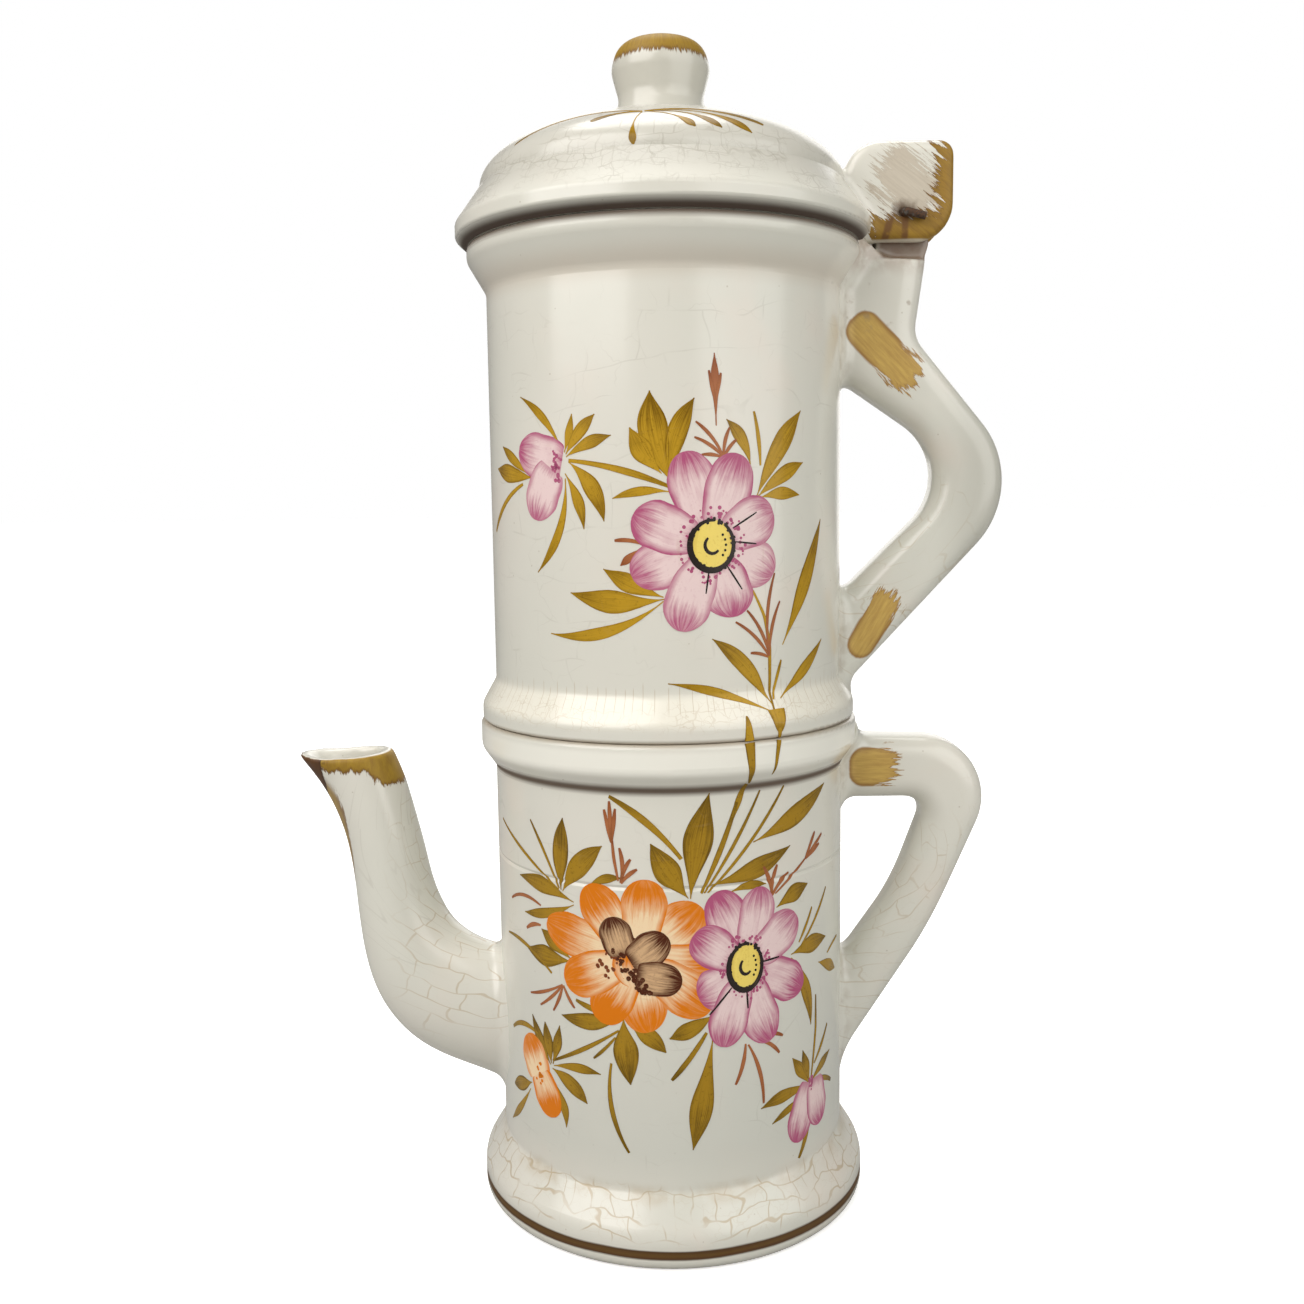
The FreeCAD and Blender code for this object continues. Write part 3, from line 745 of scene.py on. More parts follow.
def clay_lump(name, node, wall):
    """Copy of a solid in an even mesh. Where it touches the wall, it reaches into it."""
    shell = bmesh.new()
    shell.from_mesh(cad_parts[node].data)
    bmesh.ops.remove_doubles(shell, verts=shell.verts, dist=1e-6)
    places = np.array([v.co for v in shell.verts])
    for vert, high, way in zip(shell.verts, wall.above(places), wall.normal_at(places)):
        if high < TOUCHING:
            vert.co -= Vector(way) * ROOT_SINK * MM
    rough = bpy.data.meshes.new(name + "_rough")
    shell.to_mesh(rough)
    shell.free()
    lump = new_object(name + "_rough", rough)
    remesh = lump.modifiers.new("clay", "REMESH")
    remesh.mode = "VOXEL"
    remesh.voxel_size = CLAY_GRAIN * MM
    bpy.context.view_layer.update()
    mesh = bpy.data.meshes.new_from_object(lump.evaluated_get(bpy.context.evaluated_depsgraph_get()))
    bpy.data.objects.remove(lump)
    bpy.data.meshes.remove(rough)
    mesh.name = name
    return mesh


def seam_steps(places, normals, wall, seam, bore):
    """Steps along the wall that spread the root of a piece into a seam."""
    wall_normal = wall.normal_at(places)
    flat = normals - (normals * wall_normal).sum(1)[:, None] * wall_normal
    length = np.linalg.norm(flat, axis=1)[:, None]
    flat = flat / np.maximum(length, 1e-6)
    left = np.clip(1.0 - np.maximum(wall.above(places), 0.0) / seam, 0.0, 1.0)
    spread = seam * (1.0 - np.sqrt(1.0 - left ** 2)) * np.clip(length[:, 0] * 1.6, 0.0, 1.0)
    if bore is not None:
        outward = places[:, 1:] / MM - np.array(bore)
        spread[(outward * flat[:, 1:]).sum(1) < 0.0] = 0.0
    return flat * spread[:, None] * MM


def luted_piece(name, node, wall, seam, body, finish, bore=None, reshape=None, rounds=6):
    """Copy of a solid in soft clay: its edges eased, and its roots spread on to the wall in a seam.
    bore is the middle, in Y and Z, of a passage through the root, whose inside stays as it is.
    reshape is a change to the places of the eased solid."""
    mesh = clay_lump(name, node, wall)
    edges = np.empty(len(mesh.edges) * 2, dtype=np.int64)
    mesh.edges.foreach_get("vertices", edges)
    edges = edges.reshape(-1, 2)
    places = evened(read_places(mesh), edges, rounds)
    if reshape is not None:
        places = evened(reshape(places), edges, RESHAPE_ROUNDS)
    write_places(mesh, places)
    places = places + seam_steps(places, read_places(mesh, "normal"), wall, seam, bore)
    write_places(mesh, evened(places, edges, SEAM_ROUNDS))
    mesh.materials.clear()
    mesh.materials.append(finish)
    mesh.shade_smooth()
    piece = new_object(name, mesh)
    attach(piece, body)
    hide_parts(node)


def softer_beak(places):
    """Lifts the beak of the spout and rounds it in plan, because the cut solid ends in a sharp wedge."""
    x, y, z = places.T / MM
    near = (1.0 - np.clip((x - BEAK_TIP) / BEAK_LENGTH, 0.0, 1.0)) ** 2
    near = near * np.clip((z - BEAK_LOW) / BEAK_RISE, 0.0, 1.0)
    return np.stack([x - BEAK_FORWARD * near, y * (1.0 + BEAK_WIDER * near), z + BEAK_LIFT * near], -1) * MM


luted_piece("soft_spout", "pouring_spout", POT_WALL, 3.2, "lower_pot",
            finished("glaze_of_spout", spout_layers), bore=(0.0, 52.0), reshape=softer_beak, rounds=9)
luted_piece("soft_pot_handle", "pot_handle", POT_WALL, 4.5, "lower_pot",
            finished("glaze_of_pot_handle", pot_handle_layers))
luted_piece("soft_vessel_handle", "vessel_handle", VESSEL_WALL, 4.5, "drip_tier",
            finished("glaze_of_vessel_handle", vessel_handle_layers))
luted_piece("soft_thumb_block", "thumb_block", LID_WALL, 2.5, "lid",
            finished("glaze_of_thumb_block", block_layers))

for nodes, name, layers in (
    (("pot_body",), "glaze_of_pot", pot_layers),
    (("drip_vessel",), "glaze_of_vessel", vessel_layers),
    (("lid_dome",), "glaze_of_lid", lid_layers),
    (("lid_knob",), "glaze_of_knob", knob_layers),
    (("hinge_pin",), "rusted_wire", wire_layers),
    (("sieve_floor", "spreader_plate", "spreader_knob"), "glaze_of_inner_pieces", inner_layers),
):
    finish = finished(name, layers)
    for node in nodes:
        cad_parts[node].material_slots[0].material = finish


# Painted decoration

# Places across a stroke, as shares of its half width
ACROSS = (-1.0, -0.95, -0.7, -0.35, 0.0, 0.35, 0.7, 0.95, 1.0)
# How deep the edges of a stroke lie in the glaze, and the greatest half width of a twig, in millimetres
EDGE_SINK = 0.07
TWIG = 1.0


class Painting:
    """Brush strokes of one colour on one surface, gathered into one piece. A stroke is a thin closed film
    with its edges sunk in the glaze, and a higher lift lays it over its neighbours."""

    def __init__(self, surface, seed):
        self.surface = surface
        self.chance = random.Random(seed)
        self.places = []
        self.faces = []
        self.marks = {mark: [] for mark in MARKS}
        self.count = 0

    def stroke(self, spine, half_width, lift, depth=0.0):
        """One stroke along a spine of points (across, height), with its half width at each. A depth of 1
        makes all of it as dark as its edges."""
        spine = np.array(spine)
        steps = len(spine)
        tangent = np.gradient(spine, axis=0)
        tangent = tangent / np.linalg.norm(tangent, axis=1)[:, None]
        side = np.stack([-tangent[:, 1], tangent[:, 0]], -1)
        share = np.array(ACROSS)
        wide = len(share)
        grid = spine[:, None, :] + side[:, None, :] * (half_width[:, None] * share[None, :])[:, :, None]
        high = np.full((steps, wide), lift)
        high[[0, -1], :] = -EDGE_SINK
        high[:, [0, -1]] = -EDGE_SINK
        for layer in (high, np.full((steps, wide), -2.0 * EDGE_SINK)):
            self.places.append(self.surface.place(grid[:, :, 0], grid[:, :, 1], layer).reshape(-1, 3))
        top = self.count + np.arange(steps * wide).reshape(steps, wide)
        under = top + steps * wide
        self.count += 2 * steps * wide
        for i in range(steps - 1):
            for j in range(wide - 1):
                self.faces.append((top[i, j], top[i + 1, j], top[i + 1, j + 1], top[i, j + 1]))
                self.faces.append((under[i, j], under[i, j + 1], under[i + 1, j + 1], under[i + 1, j]))
        rim = [(i, 0) for i in range(steps - 1)] + [(steps - 1, j) for j in range(wide - 1)]
        rim += [(i, wide - 1) for i in range(steps - 1, 0, -1)] + [(0, j) for j in range(wide - 1, 0, -1)]
        for here, there in zip(rim, rim[1:] + rim[:1]):
            self.faces.append((top[there], top[here], under[here], under[there]))
        run = np.concatenate([[0.0], np.cumsum(np.linalg.norm(np.diff(spine, axis=0), axis=1))])
        along = np.repeat(run / run[-1], wide)
        self.marks["across"] += [np.tile(share, steps)] * 2
        self.marks["along"] += [along, along]
        self.marks["tone"].append(np.full(2 * steps * wide, self.chance.random()))
        self.marks["depth"].append(np.full(2 * steps * wide, depth))

    def leaf(self, base, tip, half_width, bend=0.0, fullest=0.56, lift=0.08):
        """Leaf from base to tip, thin at both ends, bent to its left by a share of its length. A narrow one
        is a twig that keeps its width."""
        base, tip = np.array(base), np.array(tip)
        way = tip - base
        middle = (base + tip) / 2 + np.array([-way[1], way[0]]) * bend
        steps = max(9, min(44, int(np.linalg.norm(way) / 0.55)))
        t = np.linspace(0.0, 1.0, steps)[:, None]
        spine = base * (1 - t) ** 2 + 2 * middle * t * (1 - t) + tip * t ** 2
        t = t[:, 0]
        swell = np.sin(math.pi * t ** (math.log(0.5) / math.log(fullest)))
        slim = swell ** 1.2 if half_width > TWIG else 0.5 + 0.5 * swell
        uneven = 1.0 + 0.07 * np.sin(t * 9.0 + self.chance.uniform(0.0, 6.0))
        self.stroke(spine, np.maximum(half_width * slim * uneven, 0.16), lift)

    def petal(self, base, tip, half_width, lift=0.10, root=0.45, fullest=0.6):
        """Petal that starts near the flower's middle with the share root of its width and has a round tip."""
        base, tip = np.array(base), np.array(tip)
        t = (1.0 - np.cos(np.linspace(0.0, math.pi, 21))) / 2
        way = tip - base
        sway = self.chance.uniform(-0.05, 0.05) * t * (1 - t) * 4
        spine = base + way * t[:, None] + np.array([-way[1], way[0]]) * sway[:, None]
        reach = np.where(t > fullest, 1.0 - fullest, fullest)
        swell = np.sqrt(np.maximum(1.0 - ((t - fullest) / reach) ** 2, 0.0))
        swell = np.where(t < fullest, root + (1.0 - root) * swell, swell)
        uneven = 1.0 + 0.02 * np.sin(t * 14.0 + self.chance.uniform(0.0, 6.0))
        self.stroke(spine, np.maximum(half_width * swell * uneven, 0.15), lift)

    def spike(self, base, tip, half_width, lift=0.08):
        """Stroke that starts at its full width and narrows to a point."""
        t = np.linspace(0.0, 1.0, 19)
        spine = np.array(base) + (np.array(tip) - np.array(base)) * t[:, None]
        self.stroke(spine, np.maximum(half_width * np.sqrt(1.0 - t), 0.14), lift)

    def blot(self, middle, half_width, half_height, lift, depth=1.0):
        """Round dab of colour."""
        t = (1.0 - np.cos(np.linspace(0.0, math.pi, 13))) / 2
        spine = np.array(middle) + np.array([0.0, 1.0]) * ((t * 2 - 1) * half_height)[:, None]
        width = half_width * np.sqrt(np.maximum(1.0 - (t * 2 - 1) ** 2, 0.0))
        self.stroke(spine, np.maximum(width, 0.12), lift, depth)

    def line(self, points, half_width, lift):
        """Thin line through points, thinner at its ends."""
        points = np.array(points, dtype=float)
        length = np.concatenate([[0.0], np.cumsum(np.linalg.norm(np.diff(points, axis=0), axis=1))])
        steps = max(7, min(40, int(length[-1] / 0.6)))
        t = np.linspace(0.0, length[-1], steps)
        spine = np.stack([np.interp(t, length, points[:, k]) for k in (0, 1)], -1)
        for _ in range(3):
            spine[1:-1] = (spine[:-2] + 2 * spine[1:-1] + spine[2:]) / 4
        width = half_width * (0.5 + 0.5 * np.sin(math.pi * np.linspace(0.0, 1.0, steps)))
        self.stroke(spine, width, lift)

    def dust(self, middle, half_width, half_height, near, far, count, size, lift):
        """Dots scattered round an oval, between the shares near and far of its size."""
        for _ in range(count):
            turn = self.chance.uniform(0.0, 2 * math.pi)
            out = self.chance.uniform(near, far)
            spot = np.array([half_width * math.cos(turn), half_height * math.sin(turn)]) * out + middle
            dot = size * self.chance.uniform(0.6, 1.3)
            self.blot(spot, dot, dot, lift)

    def finish(self, name, body, material):
        mesh = bpy.data.meshes.new(name)
        mesh.from_pydata(np.concatenate(self.places).tolist(), [], np.array(self.faces).tolist())
        for label, values in self.marks.items():
            mark = mesh.attributes.new(label, "FLOAT", "POINT")
            mark.data.foreach_set("value", np.concatenate(values).astype(np.float32))
        if self.surface is POT_WALL:
            press_into_crease(mesh)
        mesh.materials.append(material)
        mesh.shade_smooth()
        out = self.surface.normal_at(read_places(mesh))
        facing = (read_places(mesh, "normal") * out).sum(1)
        mesh.normals_split_custom_set_from_vertices(out * np.where(facing < 0.0, -1.0, 1.0)[:, None])
        piece = new_object(name, mesh)
        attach(piece, body)


def press_into_crease(mesh):
    """Bends paint into the crease that runs round the pot."""
    shape = bmesh.new()
    shape.from_mesh(mesh)
    for height in (CREASE_HEIGHT - CREASE_HALF, CREASE_HEIGHT, CREASE_HEIGHT + CREASE_HALF):
        everything = shape.verts[:] + shape.edges[:] + shape.faces[:]
        level = Vector((0.0, 0.0, height * MM))
        bmesh.ops.bisect_plane(shape, geom=everything, dist=1e-8, plane_co=level, plane_no=(0, 0, 1))
    for vert in shape.verts:
        deep = CREASE_DEPTH * max(0.0, 1.0 - abs(vert.co.z / MM - CREASE_HEIGHT) / CREASE_HALF)
        vert.co -= Vector((vert.co.x, vert.co.y, 0.0)).normalized() * deep * MM
    shape.to_mesh(mesh)
    shape.free()


PINK = paint_finish(
    "paint_pink", rgb(0.78, 0.61, 0.60), rgb(0.42, 0.09, 0.19),
    tip=0.95, tip_start=0.44, edge=0.95, streaks=0.7, fleck=0.15, root=0.7)
ORANGE = paint_finish(
    "paint_orange", rgb(0.86, 0.66, 0.42), rgb(0.68, 0.18, 0.002),
    tip=1.0, tip_start=0.22, edge=1.0, streaks=0.8, fleck=0.10)
OLIVE = paint_finish(
    "paint_olive", rgb(0.47, 0.275, 0.018), rgb(0.135, 0.066, 0.002),
    tip=0.6, tip_start=0.40, edge=0.6, streaks=1.6, fleck=0.40)
MOSS = paint_finish(
    "paint_moss", rgb(0.36, 0.205, 0.012), rgb(0.075, 0.040, 0.002),
    tip=0.6, tip_start=0.40, edge=0.6, streaks=1.6, fleck=0.40)
RUST = paint_finish(
    "paint_rust_red", rgb(0.38, 0.135, 0.05), rgb(0.19, 0.045, 0.015),
    tip=0.6, tip_start=0.45, edge=0.6, streaks=0.5, fleck=0.3)
YELLOW = paint_finish(
    "paint_yellow", rgb(0.83, 0.65, 0.15), rgb(0.52, 0.30, 0.03),
    tip=0.2, tip_start=0.45, edge=0.5, streaks=0.6, fleck=0.3)
UMBER = paint_finish(
    "paint_umber", rgb(0.62, 0.40, 0.22), rgb(0.075, 0.016, 0.004),
    tip=1.0, tip_start=0.42, edge=1.0, streaks=1.5, fleck=0.2, root=0.9)
BLACK = paint_finish(
    "paint_black", rgb(0.025, 0.018, 0.016), rgb(0.010, 0.008, 0.008),
    tip=0.3, tip_start=0.45, edge=0.3, streaks=0.4, fleck=0.3)


def paint_flower(petals, middle, inner, tips, half_width, lift):
    """Petals round a middle: each starts a little way out from it and ends at its own tip."""
    middle = np.array(middle)
    for i, tip in enumerate(tips):
        way = np.array(tip) - middle
        start = middle + way / np.linalg.norm(way) * inner
        petals.petal(start, tip, half_width * petals.chance.uniform(0.95, 1.06), lift + 0.02 * (i % 3))


def paint_eye(yellow, black, middle, half_width, half_height):
    """Yellow eye of a flower with a dark ring of short strokes and a hooked line within."""
    across, height = middle
    yellow.blot(middle, half_width, half_height, 0.22, depth=0.0)

    def oval(turn, share):
        return across + half_width * share * math.cos(turn), height + half_height * share * math.sin(turn)

    for i in range(30):
        turn = 2 * math.pi * i / 30 + black.chance.uniform(-0.08, 0.08)
        start, stop = black.chance.uniform(0.78, 0.92), black.chance.uniform(1.04, 1.18)
        black.line([oval(turn, start), oval(turn, stop)], 0.42, 0.26)
    black.line([oval(turn, 1.0) for turn in np.linspace(1.3, 7.4, 34)], 0.72, 0.25)
    black.line([oval(turn, 1.06) for turn in np.linspace(2.4, 5.2, 20)], 0.6, 0.25)
    black.line([oval(turn, 0.36) for turn in np.linspace(1.9, 5.9, 14)], 0.5, 0.26)
    for turn in (-0.7, -0.35, 0.0, 0.35, 0.7):
        black.blot(oval(turn, 0.62), 0.34, 0.36, 0.26)


def paint_spray(reds, base, tips, half_width, bend=-0.14):
    """Short curved strokes that spread from one point."""
    for tip in tips:
        reds.leaf(base, tip, half_width, bend if tip[0] < base[0] else -bend, lift=0.095)


VESSEL_LEAVES = (
    ((-29.0, 221.0), (-44.8, 236.1), 1.2, -0.18), ((-28.4, 220.5), (-25.8, 230.8), 1.2, -0.05),
    ((-28.0, 220.0), (-19.0, 230.4), 1.9, 0.08), ((-28.0, 219.4), (-14.4, 224.8), 1.7, 0.10),
    ((-27.4, 218.4), (-16.9, 202.4), 2.4, 0.22), ((-28.4, 215.4), (-22.7, 200.4), 1.6, 0.14),
    ((-28.2, 214.2), (-38.9, 188.8), 1.4, 0.24), ((-39.6, 214.4), (-60.0, 217.4), 2.6, 0.04),
    ((-41.5, 215.2), (-55.4, 223.4), 1.6, 0.0), ((-44.0, 212.8), (-63.4, 199.4), 0.8, -0.14),
    ((-27.4, 218.6), (0.8, 211.2), 0.9, 0.08), ((0.8, 210.0), (-14.8, 208.4), 1.3, -0.14),
    ((0.8, 212.6), (-4.4, 236.0), 4.2, 0.12), ((-1.4, 214.6), (-9.8, 226.8), 2.8, 0.10),
    ((0.6, 213.6), (7.2, 234.0), 2.9, 0.16), ((24.2, 208.6), (39.9, 231.4), 3.0, 0.08),
    ((24.4, 208.4), (40.9, 217.6), 2.2, 0.10), ((25.0, 208.2), (39.4, 208.8), 1.7, 0.12),
    ((25.4, 216.4), (23.4, 230.8), 0.6, -0.06), ((22.4, 216.6), (15.4, 228.6), 1.8, -0.18),
    ((-1.2, 182.8), (-17.6, 190.4), 2.4, 0.06), ((-1.0, 182.4), (-27.5, 184.0), 3.0, 0.12),
    ((-1.2, 182.0), (-34.5, 172.8), 1.6, 0.22), ((32.4, 168.6), (49.6, 202.6), 2.6, -0.03),
    ((27.8, 153.4), (11.1, 171.8), 2.4, -0.14), ((27.6, 151.4), (-0.8, 160.2), 1.2, -0.09),
    ((30.8, 154.6), (50.4, 169.3), 1.8, -0.05), ((28.6, 154.4), (32.2, 165.2), 0.5, 0.0),
)


def paint_vessel():
    pink, olive, rust, yellow, black = (Painting(VESSEL_WALL, seed) for seed in range(11, 16))
    flower = (11.5, 196.2)
    tips = [
        (4.2, 220.3), (19.2, 219.6), (29.4, 204.6), (29.4, 188.0), (17.2, 177.2), (3.2, 173.8),
        (-9.6, 188.0), (-9.0, 204.6),
    ]
    paint_flower(pink, flower, 4.6, tips, 6.7, 0.12)
    pink.dust(flower, 5.9, 6.6, 1.08, 1.55, 70, 0.42, 0.19)
    paint_eye(yellow, black, flower, 5.9, 6.6)
    for start, stop in (((16.6, 200.2), (24.6, 204.8)), ((17.2, 197.0), (24.6, 196.2)),
                        ((15.0, 191.4), (20.0, 184.0)), ((10.6, 190.0), (9.6, 183.0))):
        black.line([start, stop], 0.26, 0.2)
    pink.petal((-29.2, 218.2), (-45.6, 222.0), 6.2, 0.12, root=0.65, fullest=0.52)
    pink.petal((-32.6, 216.6), (-38.8, 203.0), 6.2, 0.14, root=0.65, fullest=0.52)
    pink.dust((-31.2, 217.2), 2.0, 4.6, 0.0, 1.0, 36, 0.45, 0.18)
    for base, tip, width, bend in VESSEL_LEAVES:
        olive.leaf(base, tip, width, bend)
    olive.line([(22.8, 184.3), (26.6, 177.0), (28.2, 169.0), (28.2, 160.0), (27.8, 151.6)], 0.55, 0.08)
    olive.spike((28.5, 152.4), (28.6, 146.0), 2.8)
    olive.line([(28.6, 148.0), (28.4, 144.7)], 0.6, 0.08)
    olive.spike((19.8, 144.7), (19.4, 151.4), 1.3)
    rust.leaf((12.8, 226.6), (12.4, 245.4), 1.1, 0.0, 0.62, 0.09)
    paint_spray(rust, (12.6, 232.5), [(10.9, 241.0), (14.2, 240.4)], 0.5, 0.0)
    tips = [(7.2, 228.0), (6.8, 224.0), (8.6, 219.4), (16.6, 226.6), (18.8, 223.6)]
    paint_spray(rust, (14.8, 218.6), tips, 0.5)
    paint_spray(rust, (-6.2, 196.6), [(-14.4, 197.6)], 0.6)
    paint_spray(rust, (-7.6, 195.4), [(-12.8, 191.0)], 1.1, 0.0)
    tips = [(21.0, 179.0), (17.6, 176.0), (22.0, 167.4), (30.0, 188.6), (31.8, 181.0)]
    paint_spray(rust, (28.2, 165.8), tips, 0.5)
    for strokes, name, colour in ((olive, "leaves", OLIVE), (rust, "sprigs", RUST), (pink, "petals", PINK),
                                  (yellow, "eye", YELLOW), (black, "eye_lines", BLACK)):
        strokes.finish("painted_vessel_" + name, "drip_tier", colour)


POT_LEAVES = (
    ((-32.4, 102.0), (-31.4, 122.8), 3.0, 0.06), ((-32.0, 101.8), (-19.0, 116.2), 3.2, 0.12),
    ((-28.0, 99.4), (-50.8, 103.0), 2.3, -0.10), ((-33.0, 102.0), (-63.4, 117.0), 0.5, -0.05),
    ((-33.0, 102.4), (-44.5, 120.4), 0.5, -0.05), ((-24.0, 103.6), (-13.4, 107.6), 1.3, 0.24),
    ((-28.0, 98.8), (-48.4, 92.8), 1.6, 0.10), ((4.4, 102.2), (-5.8, 117.6), 3.6, 0.06),
    ((4.8, 102.0), (10.2, 131.0), 3.9, 0.05), ((2.6, 113.0), (-17.2, 130.0), 1.0, -0.12),
    ((7.6, 103.4), (18.0, 128.4), 0.8, -0.04), ((8.4, 103.4), (24.9, 130.6), 0.5, -0.04),
    ((9.2, 103.4), (33.0, 130.8), 0.5, -0.05), ((22.4, 116.2), (51.9, 128.4), 3.0, -0.04),
    ((10.0, 105.6), (35.5, 113.6), 2.7, -0.07), ((15.6, 103.2), (27.0, 104.2), 1.2, 0.14),
    ((30.0, 96.8), (42.9, 101.3), 2.5, 0.08), ((35.4, 82.4), (53.0, 83.2), 2.6, 0.06),
    ((35.6, 81.6), (44.3, 59.4), 2.1, 0.16), ((39.7, 84.0), (52.9, 98.0), 0.5, -0.06),
    ((38.6, 85.0), (44.8, 94.2), 0.5, -0.05), ((48.0, 76.9), (60.8, 71.0), 1.9, 0.05),
    ((53.6, 77.8), (63.4, 80.3), 0.5, 0.1), ((-29.2, 82.6), (-47.5, 82.7), 3.0, 0.05),
    ((-29.4, 83.2), (-40.6, 89.8), 2.3, 0.0), ((-36.4, 77.6), (-60.2, 83.6), 0.6, -0.22),
    ((-14.0, 68.6), (-33.4, 66.6), 2.5, 0.12), ((-16.0, 68.8), (-28.3, 72.0), 0.8, 0.06),
    ((-13.8, 69.0), (-12.0, 49.8), 3.7, -0.04), ((-12.6, 67.6), (-2.0, 59.4), 2.6, 0.10),
    ((-17.4, 55.8), (-12.6, 30.2), 0.7, -0.2), ((-15.0, 65.2), (-37.2, 52.2), 0.65, 0.04),
    ((-16.0, 63.2), (-23.0, 56.0), 0.5, 0.05), ((10.8, 69.6), (-1.4, 63.4), 2.5, 0.06),
    ((9.0, 65.0), (-0.9, 51.6), 0.8, 0.05), ((-37.6, 50.6), (-45.6, 63.6), 1.8, 0.06),
    ((-37.4, 51.0), (-39.9, 63.0), 2.0, 0.0), ((-37.0, 51.0), (-34.0, 63.4), 1.6, -0.05),
    ((-42.0, 58.0), (-58.0, 55.4), 0.8, -0.3), ((-37.4, 50.0), (-24.9, 42.4), 2.5, 0.16),
    ((-36.8, 50.8), (-20.4, 51.8), 1.4, 0.12), ((-36.6, 46.2), (-32.3, 33.6), 1.4, 0.2),
    ((-46.4, 42.8), (-58.2, 38.0), 2.4, 0.0), ((-47.2, 40.8), (-61.0, 26.0), 1.2, 0.08),
    ((43.4, 42.4), (36.0, 52.4), 1.8, 0.0), ((43.6, 42.6), (40.4, 53.4), 1.6, 0.0),
    ((43.4, 42.0), (24.5, 40.4), 1.9, -0.12), ((41.6, 39.8), (28.4, 35.0), 1.2, -0.06),
    ((44.0, 42.6), (56.2, 48.2), 1.4, 0.05), ((44.4, 42.0), (57.3, 38.2), 0.9, 0.18),
    ((43.6, 33.6), (38.6, 21.6), 0.9, 0.12), ((45.8, 47.4), (54.1, 57.0), 0.6, -0.05),
    ((16.4, 123.2), (20.2, 133.0), 0.9, 0.0),
)


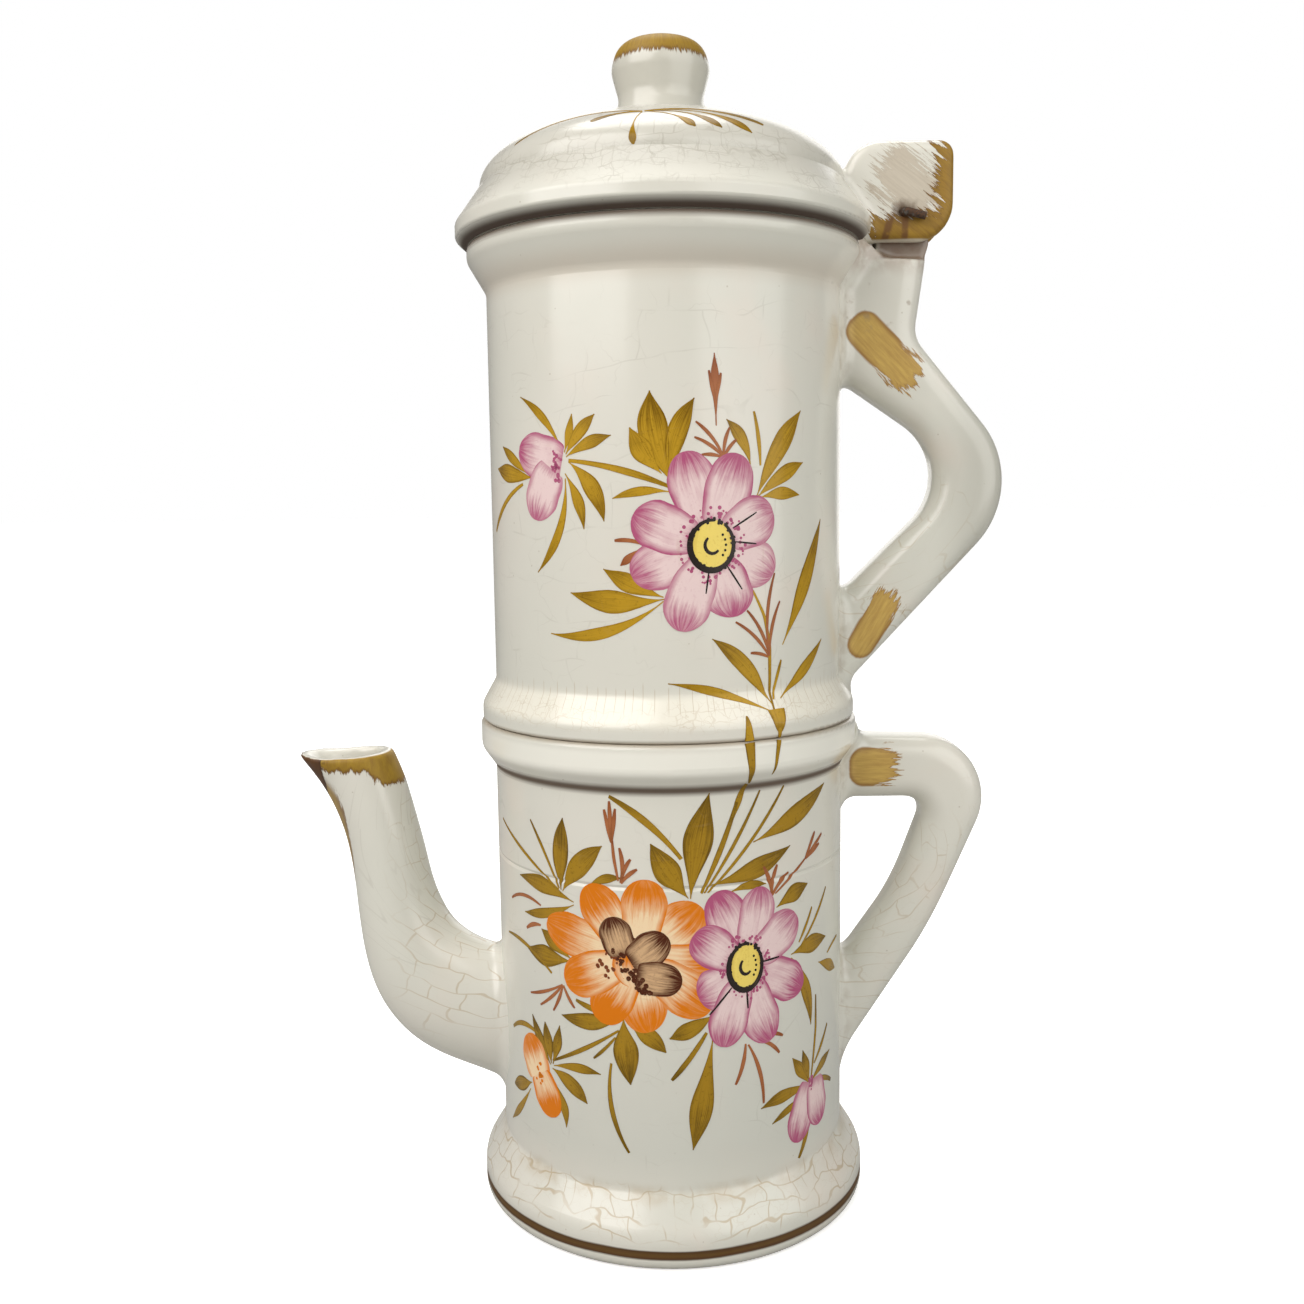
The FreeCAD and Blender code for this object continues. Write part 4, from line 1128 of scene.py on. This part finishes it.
def paint_pot():
    orange, pink, olive, rust, yellow, black, umber = (Painting(POT_WALL, seed) for seed in range(21, 28))
    big = (-9.5, 86.1)
    tips = [
        (-38.0, 92.6), (-23.8, 105.0), (-7.4, 107.6), (7.2, 100.4), (13.6, 84.0), (10.0, 70.8), (-6.6, 65.2),
        (-21.4, 67.6), (-31.6, 76.6),
    ]
    paint_flower(orange, big, 5.0, tips, 6.4, 0.10)
    orange.blot((-11.0, 83.6), 6.0, 6.0, 0.15, depth=0.25)
    for base, tip, lift in (((-13.4, 86.0), (-17.0, 96.8), 0.17), ((-11.6, 84.6), (-1.8, 92.4), 0.19),
                            ((-10.0, 81.4), (2.4, 79.4), 0.21)):
        umber.petal(base, tip, 5.0, lift, root=0.5, fullest=0.55)
    for share in np.linspace(0.0, 1.0, 44):
        spot = np.array([-15.4 + 8.5 * share, 86.4 - 11.0 * share])
        spot += [umber.chance.uniform(-1.6, 1.6), umber.chance.uniform(-1.6, 1.6)]
        dot = umber.chance.uniform(0.3, 0.75)
        umber.blot(spot, dot, dot, 0.24)
    rust.dust((-17.0, 83.0), 4.0, 4.0, 0.0, 1.0, 16, 0.5, 0.17)
    small = (20.2, 82.1)
    tips = [
        (11.2, 103.4), (24.6, 103.8), (37.2, 94.0), (39.8, 71.6), (28.4, 59.8), (13.6, 60.2), (6.8, 74.6),
        (5.6, 92.4),
    ]
    paint_flower(pink, small, 4.2, tips, 5.9, 0.16)
    pink.dust(small, 5.0, 6.6, 1.08, 1.5, 60, 0.42, 0.23)
    paint_eye(yellow, black, small, 5.0, 6.6)
    for start, stop in (((24.6, 82.6), (31.6, 83.0)), ((16.4, 77.2), (9.6, 69.6)),
                        ((20.4, 75.8), (20.8, 69.6))):
        black.line([start, stop], 0.3, 0.24)
    orange.petal((-42.8, 45.4), (-48.6, 56.6), 6.0, 0.12, root=0.7, fullest=0.5)
    orange.petal((-42.6, 46.8), (-37.0, 35.4), 5.5, 0.14, root=0.7, fullest=0.5)
    orange.dust((-42.6, 46.6), 1.8, 3.6, 0.0, 1.0, 18, 0.45, 0.18)
    pink.petal((43.2, 43.0), (37.4, 26.8), 5.4, 0.16, root=0.5, fullest=0.58)
    pink.petal((46.6, 43.2), (49.4, 28.8), 5.4, 0.18, root=0.5, fullest=0.58)
    pink.dust((44.8, 42.0), 1.8, 2.4, 0.0, 1.0, 16, 0.42, 0.22)
    for base, tip, width, bend in POT_LEAVES:
        olive.leaf(base, tip, width, bend)
    olive.leaf((10.8, 64.4), (4.8, 31.4), 3.1, 0.02, fullest=0.62)
    olive.line([(44.4, 43.6), (45.6, 50.0), (46.8, 58.0), (46.8, 68.0)], 0.5, 0.08)
    olive.spike((28.2, 144.3), (26.8, 134.6), 0.7)
    olive.spike((19.8, 144.3), (20.8, 132.6), 1.4)
    rust.line([(-14.6, 106.6), (-15.8, 113.0), (-16.4, 120.0)], 0.45, 0.09)
    paint_spray(rust, (-16.4, 117.0), [(-18.4, 126.4), (-16.9, 128.8), (-15.2, 126.8)], 0.6, 0.0)
    paint_spray(rust, (-14.0, 106.0), [(-14.3, 116.2), (-11.0, 113.2), (-9.2, 110.4)], 0.6)
    rust.line([(29.6, 100.8), (36.0, 105.0), (43.0, 109.6)], 0.4, 0.09)
    paint_spray(rust, (41.4, 108.4), [(46.2, 115.6), (50.2, 114.2), (48.8, 111.6)], 0.6, 0.0)
    paint_spray(rust, (28.6, 100.4), [(25.5, 109.6), (30.6, 109.2), (34.8, 106.2)], 0.6)
    paint_spray(rust, (-40.2, 96.2), [(-56.6, 94.6)], 0.55, -0.26)
    paint_spray(rust, (-40.4, 90.6), [(-47.6, 88.0)], 0.65, -0.2)
    tips = [(-46.4, 69.6), (-41.8, 67.2), (-36.4, 66.8), (-28.4, 69.2)]
    paint_spray(rust, (-32.4, 75.4), tips, 0.5, 0.08)
    for base, tip, bend in (((20.1, 60.4), (16.9, 48.8), 0.12), ((20.8, 60.0), (25.7, 41.7), 0.14),
                            ((23.4, 60.6), (31.3, 55.0), 0.2), ((24.1, 61.4), (32.7, 59.8), 0.2)):
        rust.leaf(base, tip, 0.6, bend, lift=0.09)
    for strokes, name, colour in ((olive, "leaves", MOSS), (rust, "sprigs", RUST),
                                  (orange, "orange_petals", ORANGE), (umber, "umber_eye", UMBER),
                                  (pink, "pink_petals", PINK), (yellow, "eye", YELLOW),
                                  (black, "eye_lines", BLACK)):
        strokes.finish("painted_pot_" + name, "lower_pot", colour)


def paint_lid():
    moss = Painting(DOME, 31)
    base = (-5.2, -46.0)
    for tip, width, bend in (
        ((8.7, -53.9), 1.2, 0.14), ((16.0, -52.2), 1.3, 0.16), ((24.5, -49.8), 1.4, 0.14),
        ((27.4, -43.4), 1.0, 0.08), ((-19.6, -46.4), 0.9, -0.12), ((-8.6, -59.0), 1.2, -0.16),
        ((-42.0, -33.0), 0.6, -0.06),
    ):
        moss.leaf(base, tip, width, bend, fullest=0.84)
    moss.finish("painted_lid_leaves", "lid", MOSS)


paint_vessel()
paint_pot()
paint_lid()


# Studio

LAMPS_LOOK_AT = Vector((0.0, 0.0, 0.18))


def add_lamp(name, kind, place, power, tint):
    lamp = bpy.data.lights.new(name, kind)
    lamp.energy = power
    lamp.color = tint
    holder = new_object(name, lamp)
    holder.location = place
    holder.rotation_euler = (LAMPS_LOOK_AT - Vector(place)).to_track_quat("-Z", "Y").to_euler()
    return lamp


def studio():
    """Soft light from above, from both sides of the front and, weaker, from behind. The room is white to
    the camera alone."""
    world = bpy.data.worlds.new("studio")
    bpy.context.scene.world = world
    world.use_nodes = True
    tree = world.node_tree
    dim = tree.nodes["Background"]
    feed(dim, {"Color": rgb(1.0, 0.985, 0.96), "Strength": 0.20})
    bright = get(tree, "Background", {"Color": rgb(1.0, 1.0, 1.0), "Strength": 1.0})
    seen = get(tree, "LightPath", output="Is Camera Ray")
    both = get(tree, "MixShader", {0: seen, 1: Value(dim.outputs[0]), 2: bright})
    feed(tree.nodes["World Output"], {"Surface": both})
    above = add_lamp("above", "SUN", (-0.05, 0.26, 1.0), 1.3, (1.0, 0.99, 0.97))
    above.angle = math.radians(40.0)
    for name, place, power, tint in (
        ("key", (-0.55, -0.50, 0.72), 8.4, (1.0, 0.97, 0.94)),
        ("fill", (0.60, -0.52, 0.50), 4.6, (1.0, 0.99, 0.955)),
        ("back", (0.15, 0.95, 0.55), 3.2, (1.0, 0.985, 0.96)),
    ):
        lamp = add_lamp(name, "AREA", place, power, tint)
        lamp.size = 0.9
    bpy.context.scene.view_settings.view_transform = "Standard"


def floor():
    """Wide pale floor that throws little light back up at the glaze."""
    far = 20.0
    mesh = bpy.data.meshes.new("floor")
    corners = [(-far, -far, 0.0), (far, -far, 0.0), (far, far, 0.0), (-far, far, 0.0)]
    mesh.from_pydata(corners, [], [(0, 1, 2, 3)])
    material = bpy.data.materials.new("pale_floor")
    material.use_nodes = True
    tree = material.node_tree
    cloud = noise(get(tree, "TexCoord", output="Object"), 1.2)
    seen = get(tree, "LightPath", output="Is Camera Ray")
    pale = mixed(cloud, rgb(0.91, 0.91, 0.91), rgb(0.95, 0.95, 0.95))
    feed(tree.nodes["Principled BSDF"], {
        "Base Color": mixed(seen, rgb(0.35, 0.35, 0.34), pale),
        "Emission Color": mixed(seen, rgb(0.0, 0.0, 0.0), rgb(0.52, 0.52, 0.52)),
        "Emission Strength": 1.0,
        "Roughness": 0.6,
    })
    mesh.materials.append(material)
    sheet = new_object("floor", mesh)


def camera():
    lens = bpy.data.cameras.new("camera")
    lens.sensor_width = 36.0
    lens.lens = 35.87
    holder = new_object("camera", lens)
    place = Matrix.Translation(Vector((-4.6, -388.1, 207.6)) * MM)
    tilt = Matrix.Rotation(math.radians(90.0 - 6.602), 4, "X")
    roll = Matrix.Rotation(math.radians(-0.746), 4, "Z")
    holder.matrix_world = place @ tilt @ roll
    bpy.context.scene.camera = holder


studio()
floor()
camera()
